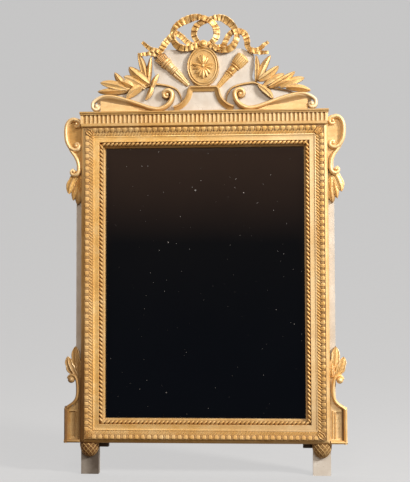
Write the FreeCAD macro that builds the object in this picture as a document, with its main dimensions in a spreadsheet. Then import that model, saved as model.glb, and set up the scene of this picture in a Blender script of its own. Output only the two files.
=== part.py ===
import FreeCAD, Part
import Sketcher
import math
import os

from FreeCAD import Placement, Rotation, Vector

doc = FreeCAD.newDocument("pediment_mirror")

# Sizes in millimetres. The frame stands upright: +Z up, front towards -Y, wall plane at y = 0,
# and z = 0 is the line on which the mirror hangs.
SIZES = {
    # mitred frame moulding, its steps from the outer edge inwards
    "frame_width": 637,
    "frame_height": 820,
    "frame_top": 30,
    "outer_round": 10,
    "quirk_width": 2,
    "leaf_width": 20,
    "fillet_width": 3,
    "cove_width": 13,
    "rope_width": 9.5,
    "sight_width": 3.5,
    "side_height": 16,
    "quirk_depth": 3,
    "leaf_height": 34,
    "leaf_foot": 22,
    "leaf_curve": 24,
    "fillet_height": 25,
    "cove_height": 19,
    "cove_foot": 15,
    "cove_curve": 17,
    "rope_height": 14,
    "rope_radius": 5,
    "sight_height": 12,
    "sight_edge": 8,
    # wooden carcass
    "carcass_thickness": 25,
    "paint_margin": 15.5,
    "sight_lip": 8,
    "carcass_setback": 3,
    "leg_width": 45,
    "leg_inset": 14,
    "leg_length": 82,
    "stile_shoulder": 8,
    "tenon_length": 28,
    "tenon_thickness": 9,
    "tenon_shoulder": 10,
    "tenon_back": 1.5,
    "tenon_clearance": 0.2,
    # mirror plate and back
    "glass_thickness": 4,
    "glass_clearance": 2,
    "block_length": 40,
    "block_width": 11,
    "block_depth": 10,
    "board_thickness": 8,
    "rabbet_width": 10,
    "board_gap": 1,
    "nail_radius": 1,
    "nail_head_radius": 2.4,
    "nail_head_height": 0.8,
    "nail_length": 18,
    # fluted frieze and cornice cap
    "frieze_height": 22,
    "frieze_depth": 33,
    "flute_pitch": 11,
    "flute_radius": 3.4,
    "cap_height": 8,
    "cap_fillet": 3.5,
    "cap_depth": 39,
    "cap_neck": 3,
    "cap_curve": 4.5,
    "cap_end": 1.5,
    # pediment board and its battens
    "pediment_thickness": 18,
    "batten_thickness": 20,
    "batten_width": 40,
    "batten_length": 180,
    "batten_drop": 50,
    "batten_offset": 95,
    # pediment carving: the unit its outlines are drawn in, and its relief above the board
    "carving_unit": 1,
    "scroll_strip": 7,
    "scroll_relief": 16,
    "scroll_ground": 7,
    "plinth_strip": 12,
    "plinth_curve": 55,
    "plinth_half": 34,
    "plinth_height": 64,
    "plinth_relief": 14,
    "laurel_stem": 6,
    "laurel_relief": 11,
    "ribbon_width": 17,
    "ribbon_relief": 12,
    "medallion_height": 96,
    "medallion_width": 72,
    "medallion_rim": 7,
    "medallion_relief": 16,
    "medallion_dish": 4,
    "rosette_height": 52,
    "rosette_width": 38,
    "rosette_relief": 7,
    "rosette_button": 5.5,
    "boss_radius": 11.5,
    "boss_neck": 7,
    "trophy_rise": 66,
    "quiver_reach": 36,
    "quiver_length": 118,
    "quiver_tip": 6,
    "quiver_mouth": 13,
    "quiver_lip": 2,
    "quiver_band": 6,
    "quiver_feathers": 22,
    "torch_reach": 35,
    "torch_handle": 50,
    "torch_radius": 4.5,
    "torch_cup": 22,
    "torch_cup_radius": 12,
    "torch_flame": 32,
    "torch_flame_root": 9,
    "torch_flame_radius": 15,
    # side consoles and lower brackets
    "console_depth": 15,
    "console_strip": 7,
    "console_relief": 11,
    "console_eye": 4.5,
    "console_leaf": 13,
    "bracket_width": 42,
    "bracket_height": 89,
    "bracket_depth": 15,
    "bracket_strip": 5,
    "bracket_relief": 10,
    "bracket_eye": 4,
    "bracket_panel_margin": 12,
    "bracket_panel_depth": 4,
    "bracket_leaf": 11,
    # pendants and blocks under the frame
    "cone_length": 37,
    "cone_neck": 20,
    "cone_curve": 36,
    "cone_tip": 3,
    "corner_block_width": 25,
    "corner_block_height": 16,
    "corner_block_depth": 18,
    # hanging hardware
    "plate_width": 14,
    "plate_height": 34,
    "plate_thickness": 1.5,
    "barrel_wall": 1.5,
    "ring_wire": 2,
    "ring_half": 13,
    "ring_corner": 4,
    "ring_running_clearance": 0.05,
    "ring_standoff": 0.5,
    "screw_radius": 1.5,
    "screw_head_radius": 3.2,
    "screw_length": 13,
    "screw_clearance": 0.1,
    "upper_screw": 14,
    "lower_screw": 27,
    "batten_screw_radius": 2.2,
    "batten_screw_head": 4.5,
    "batten_screw_head_height": 2.5,
    "rail_screw_length": 23,
    "pediment_screw_length": 32,
}

sizes = doc.addObject("Spreadsheet::Sheet", "Dim")
for row, (alias, number) in enumerate(SIZES.items(), start=1):
    sizes.set(f"A{row}", alias)
    sizes.set(f"B{row}", str(number))
    sizes.setAlias(f"B{row}", alias)
doc.recompute()

# Places that several pieces share, written as formulas of the sizes.
FRAME_HALF = "(Dim.frame_width / 2)"
FRAME_BOTTOM = "(Dim.frame_top - Dim.frame_height)"
LEAF_START = "(Dim.outer_round + Dim.quirk_width)"
FILLET_START = f"({LEAF_START} + Dim.leaf_width)"
COVE_START = f"({FILLET_START} + Dim.fillet_width)"
ROPE_START = f"({COVE_START} + Dim.cove_width)"
SIGHT_START = f"({ROPE_START} + Dim.rope_width)"
MOULDING = f"({SIGHT_START} + Dim.sight_width)"
ROUND_TOP = "(Dim.side_height + Dim.outer_round)"
FRONT = "-Dim.carcass_thickness"
CARCASS_HALF = f"({FRAME_HALF} + Dim.paint_margin)"
CARCASS_BOTTOM = f"({FRAME_BOTTOM} + Dim.carcass_setback)"
FRIEZE_TOP = "(Dim.frame_top + Dim.frieze_height)"
CORNICE_TOP = f"({FRIEZE_TOP} + Dim.cap_height)"
OPEN_HALF = f"({FRAME_HALF} - {MOULDING} + Dim.sight_lip)"
OPEN_TOP = f"(Dim.frame_top - {MOULDING} + Dim.sight_lip)"
OPEN_BOTTOM = f"({FRAME_BOTTOM} + {MOULDING} - Dim.sight_lip)"
STILE_WIDTH = f"({CARCASS_HALF} - {OPEN_HALF})"
STILE_CENTRE = f"({OPEN_HALF} + {STILE_WIDTH} / 2)"
LEG_BOTTOM = f"({FRAME_BOTTOM} - Dim.leg_length)"
LEG_OUTER = f"({CARCASS_HALF} - Dim.leg_inset)"
LEG_INNER = f"({LEG_OUTER} - Dim.leg_width)"
RABBET_TOP = f"({OPEN_TOP} + Dim.rabbet_width)"
RABBET_BOTTOM = f"({OPEN_BOTTOM} - Dim.rabbet_width)"
RABBET_HALF = f"({OPEN_HALF} + Dim.rabbet_width)"
TENON_FACE = "(Dim.board_thickness + Dim.tenon_back)"
PEDIMENT_FACE = "(-Dim.batten_thickness - Dim.pediment_thickness)"
MEDALLION_CENTRE = f"({CORNICE_TOP} + Dim.plinth_height + Dim.medallion_height / 2)"
BOSS_CENTRE = f"({CORNICE_TOP} + Dim.plinth_height + Dim.medallion_height + Dim.boss_radius)"
BARREL_BORE = "(Dim.ring_wire + Dim.ring_running_clearance)"
BARREL_AXIS = "(Dim.plate_thickness + Dim.ring_standoff + Dim.ring_wire)"

RIGHT = Vector(1, 0, 0)
BACKWARD = Vector(0, 1, 0)
FORWARD = Vector(0, -1, 0)
UP = Vector(0, 0, 1)
DOWN = Vector(0, 0, -1)

parts = []


def mm(formula):
    """Value of a size formula."""
    return float(sizes.evalExpression(formula))


def size(alias):
    return mm("Dim." + alias)


def keep(piece):
    """Hands the piece in under its label."""
    parts.append(piece)
    return piece


def put(piece, x="0", y="0", z="0", turn=None):
    """Places a piece by three formulas, with an optional turn."""
    if turn is not None:
        piece.Placement = Placement(Vector(), turn)
    for axis, formula in zip("xyz", (x, y, z)):
        piece.setExpression(f"Placement.Base.{axis}", formula)
    return piece


def box(label, length, depth, height, x, y, z):
    piece = doc.addObject("Part::Box", label)
    for name, formula in zip(("Length", "Width", "Height"), (length, depth, height)):
        piece.setExpression(name, formula)
    return put(piece, x, y, z)


def cylinder(label, radius, height, x, y, z, turn=None):
    piece = doc.addObject("Part::Cylinder", label)
    piece.setExpression("Radius", radius)
    piece.setExpression("Height", height)
    return put(piece, x, y, z, turn)


def cut(label, base, *tools):
    """Base with one or more other pieces taken away."""
    for number, tool in enumerate(tools, start=1):
        piece = doc.addObject("Part::Cut", label if number == len(tools) else f"{label}_trim{number}")
        piece.Base = base
        piece.Tool = tool
        base = piece
    doc.recompute()
    return base


def fuse(label, *pieces):
    piece = doc.addObject("Part::MultiFuse", label)
    piece.Shapes = list(pieces)
    piece.Refine = True
    doc.recompute()
    return piece


def group(label, pieces):
    """Several loose pieces of one kind under one label."""
    piece = doc.addObject("Part::Compound", label)
    piece.Links = pieces
    return piece


def mirrored(source, label):
    """The same piece on the left-hand side."""
    twin = doc.addObject("Part::Mirroring", label)
    twin.Source = source
    twin.Base = Vector(0, 0, 0)
    twin.Normal = RIGHT
    doc.recompute()
    return twin


def new_body(label, x="0", y="0", z="0", turn=None):
    return put(doc.addObject("PartDesign::Body", label), x, y, z, turn)


def arc_between(start, end, radius, turning):
    """Short arc of a circle from start to end; turning is 1 for anticlockwise, -1 for clockwise."""
    chord = end.sub(start)
    rise = math.sqrt(max(radius * radius - chord.Length * chord.Length / 4, 0))
    side = Vector(-chord.y, chord.x, 0).normalize() * rise * turning
    centre = start + chord * 0.5 + side
    first, last = (start, end) if turning > 0 else (end, start)
    angles = [math.atan2(p.y - centre.y, p.x - centre.x) for p in (first, last)]
    return Part.ArcOfCircle(Part.Circle(centre, UP, radius), *angles)


def sketch(body, name, plane, corners, arcs=None, lift=None):
    """Closed outline on an origin plane. Each corner is held by two formulas; arcs maps a corner
    number to the radius and turning of the arc that leaves it."""
    arcs = arcs or {}
    outline = body.newObject("Sketcher::SketchObject", name)
    support = next(f for f in body.Origin.OriginFeatures if f.Role == plane)
    outline.AttachmentSupport = (support, [""])
    outline.MapMode = "FlatFace"
    if lift:
        outline.setExpression("AttachmentOffset.Base.z", lift)
    points = [Vector(mm(x), mm(y), 0) for x, y in corners]
    ends = []
    for number, start in enumerate(points):
        end = points[(number + 1) % len(points)]
        if number in arcs:
            radius, turning = arcs[number]
            outline.addGeometry(arc_between(start, end, mm(radius), turning))
            ends.append((1, 2) if turning > 0 else (2, 1))
        else:
            outline.addGeometry(Part.LineSegment(start, end))
            ends.append((1, 2))
    for number, (x, y) in enumerate(corners):
        after = (number + 1) % len(points)
        outline.addConstraint(
            Sketcher.Constraint("Coincident", number, ends[number][1], after, ends[after][0]))
        for kind, formula in (("DistanceX", x), ("DistanceY", y)):
            held = outline.addConstraint(
                Sketcher.Constraint(kind, -1, 1, number, ends[number][0], mm(formula)))
            outline.setExpression(f"Constraints[{held}]", formula)
    for number, (radius, turning) in arcs.items():
        held = outline.addConstraint(Sketcher.Constraint("Radius", number, mm(radius)))
        outline.setExpression(f"Constraints[{held}]", radius)
    doc.recompute()
    return outline


def rectangle(body, name, plane, left, right, low, high, lift=None):
    corners = [(left, low), (right, low), (right, high), (left, high)]
    return sketch(body, name, plane, corners, lift=lift)


def pad(body, outline, length):
    feature = body.newObject("PartDesign::Pad", outline.Name + "_pad")
    feature.Profile = outline
    feature.setExpression("Length", length)
    doc.recompute()
    return feature


def pocket(body, outline, depth=None, reverse=False):
    """Pocket of the given depth, or through the whole body."""
    feature = body.newObject("PartDesign::Pocket", outline.Name + "_pocket")
    feature.Profile = outline
    feature.Reversed = reverse
    if depth is None:
        feature.Type = "ThroughAll"
    else:
        feature.setExpression("Length", depth)
    before = body.Shape.Volume
    doc.recompute()
    if body.Shape.Volume >= before:
        raise ValueError(f"{outline.Name} takes nothing away")
    return feature


def half_turned(label, corners, x, y, z, along, arcs=None):
    """Half-round carving: a profile of (place along the axis, radius) turned through half a circle,
    with its flat side against the ground behind it."""
    turn = Rotation(along, FORWARD.cross(along), FORWARD, "ZXY")
    body = new_body(label, x, y, z, turn)
    outline = sketch(body, label + "_profile", "XY_Plane", corners, arcs)
    feature = body.newObject("PartDesign::Revolution", label + "_turned")
    feature.Profile = outline
    feature.ReferenceAxis = (outline, ["H_Axis"])
    feature.Angle = 180
    doc.recompute()
    return body


# Carved ornament is drawn in the upright plane as (x, z) points in carving units, flat at the back.
def at(point):
    return Vector(point[0], 0, point[1]) * size("carving_unit")


def curve(points, closed=False):
    line = Part.BSplineCurve()
    line.interpolate([at(point) for point in points], PeriodicFlag=closed)
    return line


def raised(edges, depth):
    """Flat outline raised forward by its depth."""
    return Part.Face(Part.Wire(edges)).extrude(FORWARD * depth)


def polygon(points):
    corners = [at(point) for point in points]
    return [Part.makeLine(a, b) for a, b in zip(corners, corners[1:] + corners[:1])]


def blob(points, depth):
    """Closed smooth outline through the points."""
    return raised([curve(points, closed=True).toShape()], depth)


def band(points, width, depth, end_width=None):
    """Strip that follows a smooth path, from its first width to its last."""
    path = curve(points)
    narrowing = (width if end_width is None else end_width) - width
    steps = 4 * (len(points) - 1)
    left = []
    right = []
    for step in range(steps + 1):
        share = step / steps
        here = path.FirstParameter + (path.LastParameter - path.FirstParameter) * share
        place = path.value(here)
        ahead = path.tangent(here)[0]
        side = Vector(-ahead.z, 0, ahead.x) * ((width + narrowing * share) / 2)
        left.append(place + side)
        right.append(place - side)
    right.reverse()
    edges = []
    for line in (left, right):
        strip_edge = Part.BSplineCurve()
        strip_edge.interpolate(line)
        edges.append(strip_edge.toShape())
    caps = [Part.makeLine(left[-1], right[0]), Part.makeLine(right[-1], left[0])]
    return raised([edges[0], caps[0], edges[1], caps[1]], depth)


def volute(centre, start, turn, outer, inner):
    """Points of a spiral that winds in round a centre, through a turn in degrees."""
    steps = max(3, round(abs(turn) / 40))
    points = []
    for step in range(steps + 1):
        share = step / steps
        angle = math.radians(start + turn * share)
        reach = outer + (inner - outer) * share
        points.append((centre[0] + reach * math.cos(angle), centre[1] + reach * math.sin(angle)))
    return points


def leaf(base, tip, width, depth):
    """Pointed leaf between two arcs."""
    start = at(base)
    end = at(tip)
    ahead = end.sub(start).normalize()
    side = Vector(-ahead.z, 0, ahead.x) * (width * size("carving_unit") / 2)
    middle = (start + end) * 0.5
    arcs = [Part.Arc(start, middle + side, end), Part.Arc(end, middle - side, start)]
    return raised([arc.toShape() for arc in arcs], depth)


def disc(centre, radius, depth):
    return Part.makeCylinder(radius, depth, at(centre), FORWARD)


def joined(shapes):
    return shapes[0].multiFuse(shapes[1:]).removeSplitter()


def flipped(points):
    return [(-x, z) for x, z in points]


def carving(label, shape, x="0", y="0", z="0"):
    piece = doc.addObject("Part::Feature", label)
    piece.Shape = shape
    put(piece, x, y, z)
    doc.recompute()
    return piece


# Carcass: two stiles that run down into the feet, and two rails tenoned between them.
def make_stile():
    body = new_body("right_stile")
    corners = [
        (LEG_INNER, LEG_BOTTOM), (LEG_OUTER, LEG_BOTTOM),
        (LEG_OUTER, CARCASS_BOTTOM), (CARCASS_HALF, CARCASS_BOTTOM),
        (CARCASS_HALF, "Dim.frame_top + Dim.stile_shoulder"),
        (FRAME_HALF, "Dim.frame_top + Dim.stile_shoulder"),
        (FRAME_HALF, CORNICE_TOP), (OPEN_HALF, CORNICE_TOP),
        (OPEN_HALF, CARCASS_BOTTOM), (LEG_INNER, CARCASS_BOTTOM),
    ]
    pad(body, sketch(body, "stile_face", "XZ_Plane", corners), "Dim.carcass_thickness")
    rabbet = rectangle(body, "stile_rabbet", "XZ_Plane", OPEN_HALF, RABBET_HALF, RABBET_BOTTOM, RABBET_TOP)
    pocket(body, rabbet, "Dim.board_thickness", reverse=True)
    mortise_end = f"{OPEN_HALF} + Dim.tenon_length + Dim.tenon_clearance"
    for name, low, high in (("upper", OPEN_TOP, CORNICE_TOP), ("lower", CARCASS_BOTTOM, OPEN_BOTTOM)):
        mortise = rectangle(
            body, f"stile_{name}_mortise", "XZ_Plane", OPEN_HALF, mortise_end,
            f"{low} + Dim.tenon_shoulder - Dim.tenon_clearance",
            f"{high} - Dim.tenon_shoulder + Dim.tenon_clearance",
            lift=f"{TENON_FACE} - Dim.tenon_clearance")
        pocket(body, mortise, "Dim.tenon_thickness + 2 * Dim.tenon_clearance", reverse=True)
    return body


def make_rail(label, low, high, rabbet_low, rabbet_high):
    body = new_body(label)
    face = rectangle(body, label + "_face", "XZ_Plane", "-" + OPEN_HALF, OPEN_HALF, low, high)
    pad(body, face, "Dim.carcass_thickness")
    reach = f"({OPEN_HALF} + Dim.tenon_length)"
    tenons = rectangle(
        body, label + "_tenons", "XZ_Plane", "-" + reach, reach,
        f"{low} + Dim.tenon_shoulder", f"{high} - Dim.tenon_shoulder", lift=TENON_FACE)
    pad(body, tenons, "Dim.tenon_thickness")
    rabbet = rectangle(
        body, label + "_rabbet", "XZ_Plane", "-" + OPEN_HALF, OPEN_HALF, rabbet_low, rabbet_high)
    pocket(body, rabbet, "Dim.board_thickness", reverse=True)
    return body


right_stile = keep(make_stile())
keep(mirrored(right_stile, "left_stile"))
top_rail = make_rail("top_rail", OPEN_TOP, CORNICE_TOP, OPEN_TOP, RABBET_TOP)
BATTEN_LOW = f"({CORNICE_TOP} - Dim.batten_drop)"
for side, sign in (("left", "-1"), ("right", "1")):
    centre = f"({sign} * Dim.batten_offset)"
    notch = rectangle(
        top_rail, f"{side}_batten_notch", "XZ_Plane", f"{centre} - Dim.batten_width / 2",
        f"{centre} + Dim.batten_width / 2", BATTEN_LOW, CORNICE_TOP)
    pocket(top_rail, notch, "Dim.batten_thickness", reverse=True)
keep(top_rail)
keep(make_rail("bottom_rail", CARCASS_BOTTOM, OPEN_BOTTOM, RABBET_BOTTOM, OPEN_BOTTOM))

# Mirror plate, the glued blocks that hold it and the nailed back boards.
GLASS_HALF = f"({OPEN_HALF} - Dim.glass_clearance)"
keep(box(
    "mirror_plate", f"2 * {GLASS_HALF}", "Dim.glass_thickness",
    f"{OPEN_TOP} - {OPEN_BOTTOM} - 2 * Dim.glass_clearance",
    "-" + GLASS_HALF, FRONT, f"{OPEN_BOTTOM} + Dim.glass_clearance"))


def glass_blocks():
    """Two blocks along each side of the opening."""
    y = f"{FRONT} + Dim.glass_thickness"
    blocks = []
    for end, share in (("first", "-1"), ("second", "1")):
        x = f"{share} * {OPEN_HALF} / 2 - Dim.block_length / 2"
        for side, z in (("top", f"{OPEN_TOP} - Dim.block_width"), ("bottom", OPEN_BOTTOM)):
            blocks.append(box(
                f"{end}_{side}_block", "Dim.block_length", "Dim.block_depth", "Dim.block_width", x, y, z))
        middle = f"({OPEN_TOP} + {OPEN_BOTTOM}) / 2"
        z = f"{middle} + {share} * ({OPEN_TOP} - {OPEN_BOTTOM}) / 4 - Dim.block_length / 2"
        for side, x in (("left", "-" + OPEN_HALF), ("right", f"{OPEN_HALF} - Dim.block_width")):
            blocks.append(box(
                f"{end}_{side}_block", "Dim.block_width", "Dim.block_depth", "Dim.block_length", x, y, z))
    return blocks


keep(group("glass_blocks", glass_blocks()))

BOARD_WIDTH = f"((2 * {RABBET_HALF} - 4 * Dim.board_gap) / 3)"
BOARD_HEIGHT = f"({RABBET_TOP} - {RABBET_BOTTOM} - 2 * Dim.board_gap)"
BOARD_BOTTOM = f"({RABBET_BOTTOM} + Dim.board_gap)"
for number, name in enumerate(("left", "middle", "right")):
    keep(box(
        f"back_board_{name}", BOARD_WIDTH, "Dim.board_thickness", BOARD_HEIGHT,
        f"-{RABBET_HALF} + Dim.board_gap + {number} * ({BOARD_WIDTH} + Dim.board_gap)",
        "-Dim.board_thickness", BOARD_BOTTOM))


def fastener(radius, head_radius, head_height, length, x, z, head_back):
    """Nail or screw driven forward into the wood; its head narrows to the shank if it is sunk."""
    proud = head_back > 0
    head = Part.makeCylinder(head_radius, head_height, Vector(x, head_back, z), FORWARD)
    if not proud:
        head = Part.makeCone(head_radius, radius, head_height, Vector(x, head_back, z), FORWARD)
    shank = Part.makeCylinder(radius, length, Vector(x, head_back, z), FORWARD)
    return joined([head, shank])


def nails():
    board = mm(BOARD_WIDTH)
    edge = size("rabbet_width") / 2
    first = -mm(RABBET_HALF) + size("board_gap")
    driven = []
    for number in range(3):
        left = first + number * (board + size("board_gap"))
        for x in (left + board / 4, left + board * 3 / 4):
            for z in (mm(OPEN_TOP) + edge, mm(OPEN_BOTTOM) - edge):
                driven.append(fastener(
                    size("nail_radius"), size("nail_head_radius"), size("nail_head_height"),
                    size("nail_length"), x, z, size("nail_head_height")))
    return Part.makeCompound(driven)


keep(carving("back_board_nails", nails()))


# Frame moulding, drawn once as distance in from the outer edge and height above the carcass, then
# mitred at both ends.
def make_moulding(label, length, x, z, inward):
    turn = Rotation(inward, FORWARD, inward.cross(FORWARD), "ZXY")
    body = new_body(label, x, FRONT, z, turn)
    corners = [
        ("0", "0"), (MOULDING, "0"), (MOULDING, "Dim.sight_edge"), (SIGHT_START, "Dim.sight_height"),
        (SIGHT_START, "Dim.rope_height"), (ROPE_START, "Dim.rope_height"),
        (ROPE_START, "Dim.cove_foot"), (COVE_START, "Dim.cove_height"),
        (COVE_START, "Dim.fillet_height"), (FILLET_START, "Dim.fillet_height"),
        (FILLET_START, "Dim.leaf_foot"), (LEAF_START, "Dim.leaf_height"),
        (LEAF_START, f"{ROUND_TOP} - Dim.quirk_depth"),
        ("Dim.outer_round", f"{ROUND_TOP} - Dim.quirk_depth"),
        ("Dim.outer_round", ROUND_TOP), ("0", "Dim.side_height"),
    ]
    arcs = {
        4: ("Dim.rope_radius", 1),
        6: ("Dim.cove_curve", -1),
        10: ("Dim.leaf_curve", 1),
        14: ("Dim.outer_round", 1),
    }
    pad(body, sketch(body, label + "_profile", "XY_Plane", corners, arcs), length)
    for end, corner, tip in (("near", "0", MOULDING), ("far", length, f"{length} - {MOULDING}")):
        mitre = sketch(
            body, f"{label}_{end}_mitre", "XZ_Plane", [("0", corner), (MOULDING, corner), (MOULDING, tip)])
        pocket(body, mitre)
    return body


keep(make_moulding("top_moulding", "Dim.frame_width", FRAME_HALF, "Dim.frame_top", DOWN))
keep(make_moulding("bottom_moulding", "Dim.frame_width", "-" + FRAME_HALF, FRAME_BOTTOM, UP))
right_moulding = keep(make_moulding(
    "right_moulding", "Dim.frame_height", FRAME_HALF, FRAME_BOTTOM, -RIGHT))
keep(make_moulding("left_moulding", "Dim.frame_height", "-" + FRAME_HALF, "Dim.frame_top", RIGHT))


# Fluted frieze and the cap that covers it.
def make_frieze():
    body = new_body("frieze", "-" + FRAME_HALF, FRONT, "Dim.frame_top")
    ground = rectangle(body, "frieze_plan", "XY_Plane", "0", "Dim.frame_width", "-Dim.frieze_depth", "0")
    pad(body, ground, "Dim.frieze_height")
    count = "floor(Dim.frame_width / Dim.flute_pitch)"
    first = f"((Dim.frame_width - ({count} - 1) * Dim.flute_pitch) / 2)"
    flute = sketch(
        body, "flute_plan", "XY_Plane",
        [(f"{first} - Dim.flute_radius", "-Dim.frieze_depth"),
         (f"{first} + Dim.flute_radius", "-Dim.frieze_depth"),
         (first, "-Dim.frieze_depth + Dim.flute_radius")],
        {1: ("Dim.flute_radius", 1), 2: ("Dim.flute_radius", 1)})
    first_flute = pocket(body, flute, reverse=True)
    row = body.newObject("PartDesign::LinearPattern", "flute_row")
    row.Originals = [first_flute]
    row.Direction = (flute, ["H_Axis"])
    row.setExpression("Length", f"({count} - 1) * Dim.flute_pitch")
    row.setExpression("Occurrences", count)
    body.Tip = row
    doc.recompute()
    return body


keep(make_frieze())

CAP_HALF = f"({FRAME_HALF} + Dim.cap_end)"
cap = new_body("cornice_cap", CAP_HALF, FRONT, FRIEZE_TOP, Rotation(FORWARD, UP, -RIGHT, "ZXY"))
cap_neck = "(Dim.frieze_depth + Dim.cap_neck)"
cap_profile = sketch(
    cap, "cap_profile", "XY_Plane",
    [("0", "0"), (cap_neck, "0"), ("Dim.cap_depth", "Dim.cap_height - Dim.cap_fillet"),
     ("Dim.cap_depth", "Dim.cap_height"), ("0", "Dim.cap_height")],
    {1: ("Dim.cap_curve", -1)})
pad(cap, cap_profile, f"2 * {CAP_HALF}")
keep(cap)

# Pediment board, standing on the cornice and screwed to two battens let into the top rail.
PEDIMENT_EDGE = [
    (266, 0), (272, 16), (266, 34), (240, 46), (206, 58), (168, 66), (140, 74), (126, 88), (129, 108),
    (131, 130), (130, 146), (113, 157), (94, 164), (74, 163), (50, 167), (26, 174), (0, 178),
]
pediment_outline = PEDIMENT_EDGE + flipped(PEDIMENT_EDGE[-2::-1])
pediment_foot = Part.makeLine(at(pediment_outline[-1]), at(pediment_outline[0]))
keep(carving(
    "pediment_board",
    raised([curve(pediment_outline).toShape(), pediment_foot], size("pediment_thickness")),
    y="-Dim.batten_thickness", z=CORNICE_TOP))
for side, sign in (("left", "-1"), ("right", "1")):
    keep(box(
        f"{side}_batten", "Dim.batten_width", "Dim.batten_thickness", "Dim.batten_length",
        f"{sign} * Dim.batten_offset - Dim.batten_width / 2", "-Dim.batten_thickness", BATTEN_LOW))


def batten_screws():
    """Two screws into the rail and two into the pediment board for each batten."""
    low = mm(BATTEN_LOW)
    drop = size("batten_drop")
    rise = size("batten_length") - drop
    top = mm(CORNICE_TOP)
    places = [
        (low + drop / 4, "rail_screw_length"), (low + drop * 3 / 4, "rail_screw_length"),
        (top + rise / 4, "pediment_screw_length"), (top + rise * 3 / 4, "pediment_screw_length"),
    ]
    return Part.makeCompound([
        fastener(
            size("batten_screw_radius"), size("batten_screw_head"), size("batten_screw_head_height"),
            size(length), sign * size("batten_offset"), z, 0)
        for sign in (-1, 1) for z, length in places])


keep(carving("batten_screws", batten_screws()))

# Pediment carving. Points are measured from the middle of the cornice top.
on_pediment = {"y": PEDIMENT_FACE, "z": CORNICE_TOP}
CLEAR_THROUGH = 2 * size("medallion_relief") + size("torch_flame_radius")


def medallion_oval(label, margin, depth, y):
    oval = doc.addObject("Part::Ellipse", label + "_outline")
    oval.setExpression("MajorRadius", f"Dim.medallion_height / 2 - {margin}")
    oval.setExpression("MinorRadius", f"Dim.medallion_width / 2 - {margin}")
    put(oval, "0", y, MEDALLION_CENTRE, Rotation(UP, -RIGHT, FORWARD, "ZXY"))
    solid = doc.addObject("Part::Extrusion", label)
    solid.Base = oval
    solid.DirMode = "Custom"
    solid.Dir = FORWARD
    solid.Solid = True
    solid.setExpression("LengthFwd", depth)
    doc.recompute()
    return solid


MEDALLION_FLOOR = f"({PEDIMENT_FACE} - Dim.medallion_relief + Dim.medallion_dish)"
medallion_blank = medallion_oval("medallion_blank", "0", "Dim.medallion_relief", PEDIMENT_FACE)
medallion_dish = medallion_oval(
    "medallion_hollow", "Dim.medallion_rim", "Dim.medallion_relief", MEDALLION_FLOOR)
medallion = keep(cut("medallion", medallion_blank, medallion_dish))


def rosette():
    """Oval flower of pointed petals round a button."""
    half_height = size("rosette_height") / size("carving_unit") / 2
    half_width = size("rosette_width") / size("carving_unit") / 2
    relief = size("rosette_relief")
    petals = 8
    pieces = [disc((0, 0), size("rosette_button"), relief * 1.5)]
    for number in range(petals):
        angle = 2 * math.pi * number / petals
        tip = (half_width * math.sin(angle), half_height * math.cos(angle))
        reach = math.hypot(*tip)
        pieces.append(leaf((0, 0), tip, reach * 0.5, relief))
    return joined(pieces)


keep(carving("rosette", rosette(), y=MEDALLION_FLOOR, z=MEDALLION_CENTRE))

facing_front = Rotation(RIGHT, UP, FORWARD, "ZXY")
boss_neck = cylinder(
    "boss_neck", "Dim.boss_radius", "Dim.boss_neck", "0", PEDIMENT_FACE, BOSS_CENTRE, facing_front)
boss_dome = doc.addObject("Part::Sphere", "boss_dome")
boss_dome.setExpression("Radius", "Dim.boss_radius")
boss_dome.Angle1 = 0
put(boss_dome, "0", f"{PEDIMENT_FACE} - Dim.boss_neck", BOSS_CENTRE, facing_front)
boss = keep(fuse("ribbon_boss", boss_neck, boss_dome))

# Openwork bow: two ribbon loops that cross above the boss, and a forked tail on each side.
RIBBON_LOOP = [
    (-17, 167), (-25, 190), (-24.5, 209), (-14, 224), (2.5, 234), (22, 240), (40, 240), (58, 232),
    (71, 220), (78, 204), (75.5, 185), (64, 169.5), (45.5, 162), (16, 168),
]
LEFT_TAIL = [(-79, 196), (-89, 188), (-99.5, 177), (-106, 164), (-111.5, 154), (-124, 149.5), (-138, 152)]
LEFT_TAIL_END = [(-112, 154), (-120, 159), (-133, 163), (-146, 172), (-159, 183)]
RIGHT_TAIL = [(83, 205), (97, 200.5), (106.5, 190.5), (112.5, 177.5), (115.5, 165), (125.5, 156), (140, 152)]
RIGHT_TAIL_END = [(122, 157), (139, 157), (151, 163), (159, 170), (168, 178)]


def ribbon_bow(depth):
    width = size("ribbon_width")
    return joined([band(loop, width, depth) for loop in (RIBBON_LOOP, flipped(RIBBON_LOOP))])


def ribbon_tail(points, end, depth):
    width = size("ribbon_width")
    fork_sign = 1 if points[-1][0] > 0 else -1
    lower_end = [points[-2], points[-1], (points[-1][0] + fork_sign * 28, points[-1][1] - 2)]
    return joined([
        band(points, width, depth),
        band(end, width * 0.7, depth, width * 0.55),
        band(lower_end, width * 0.8, depth, width * 0.5),
    ])


bow_blank = carving("bow_blank", ribbon_bow(size("ribbon_relief")), **on_pediment)
boss_bore = cylinder(
    "boss_bore", "Dim.boss_radius", "Dim.ribbon_relief", "0", PEDIMENT_FACE, BOSS_CENTRE, facing_front)
bow = keep(cut("ribbon_bow", bow_blank, boss_bore, medallion_blank))
bow_space = carving("bow_space", ribbon_bow(CLEAR_THROUGH), **on_pediment)
tail_spaces = {}
for side, points, end in (("left", LEFT_TAIL, LEFT_TAIL_END), ("right", RIGHT_TAIL, RIGHT_TAIL_END)):
    blank = carving(f"{side}_tail_blank", ribbon_tail(points, end, size("ribbon_relief")), **on_pediment)
    keep(cut(f"{side}_ribbon_tail", blank, bow_space))
    tail_spaces[side] = carving(f"{side}_tail_space", ribbon_tail(points, end, CLEAR_THROUGH), **on_pediment)
medallion_space = medallion_oval("medallion_space", "0", str(CLEAR_THROUGH), PEDIMENT_FACE)

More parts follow.
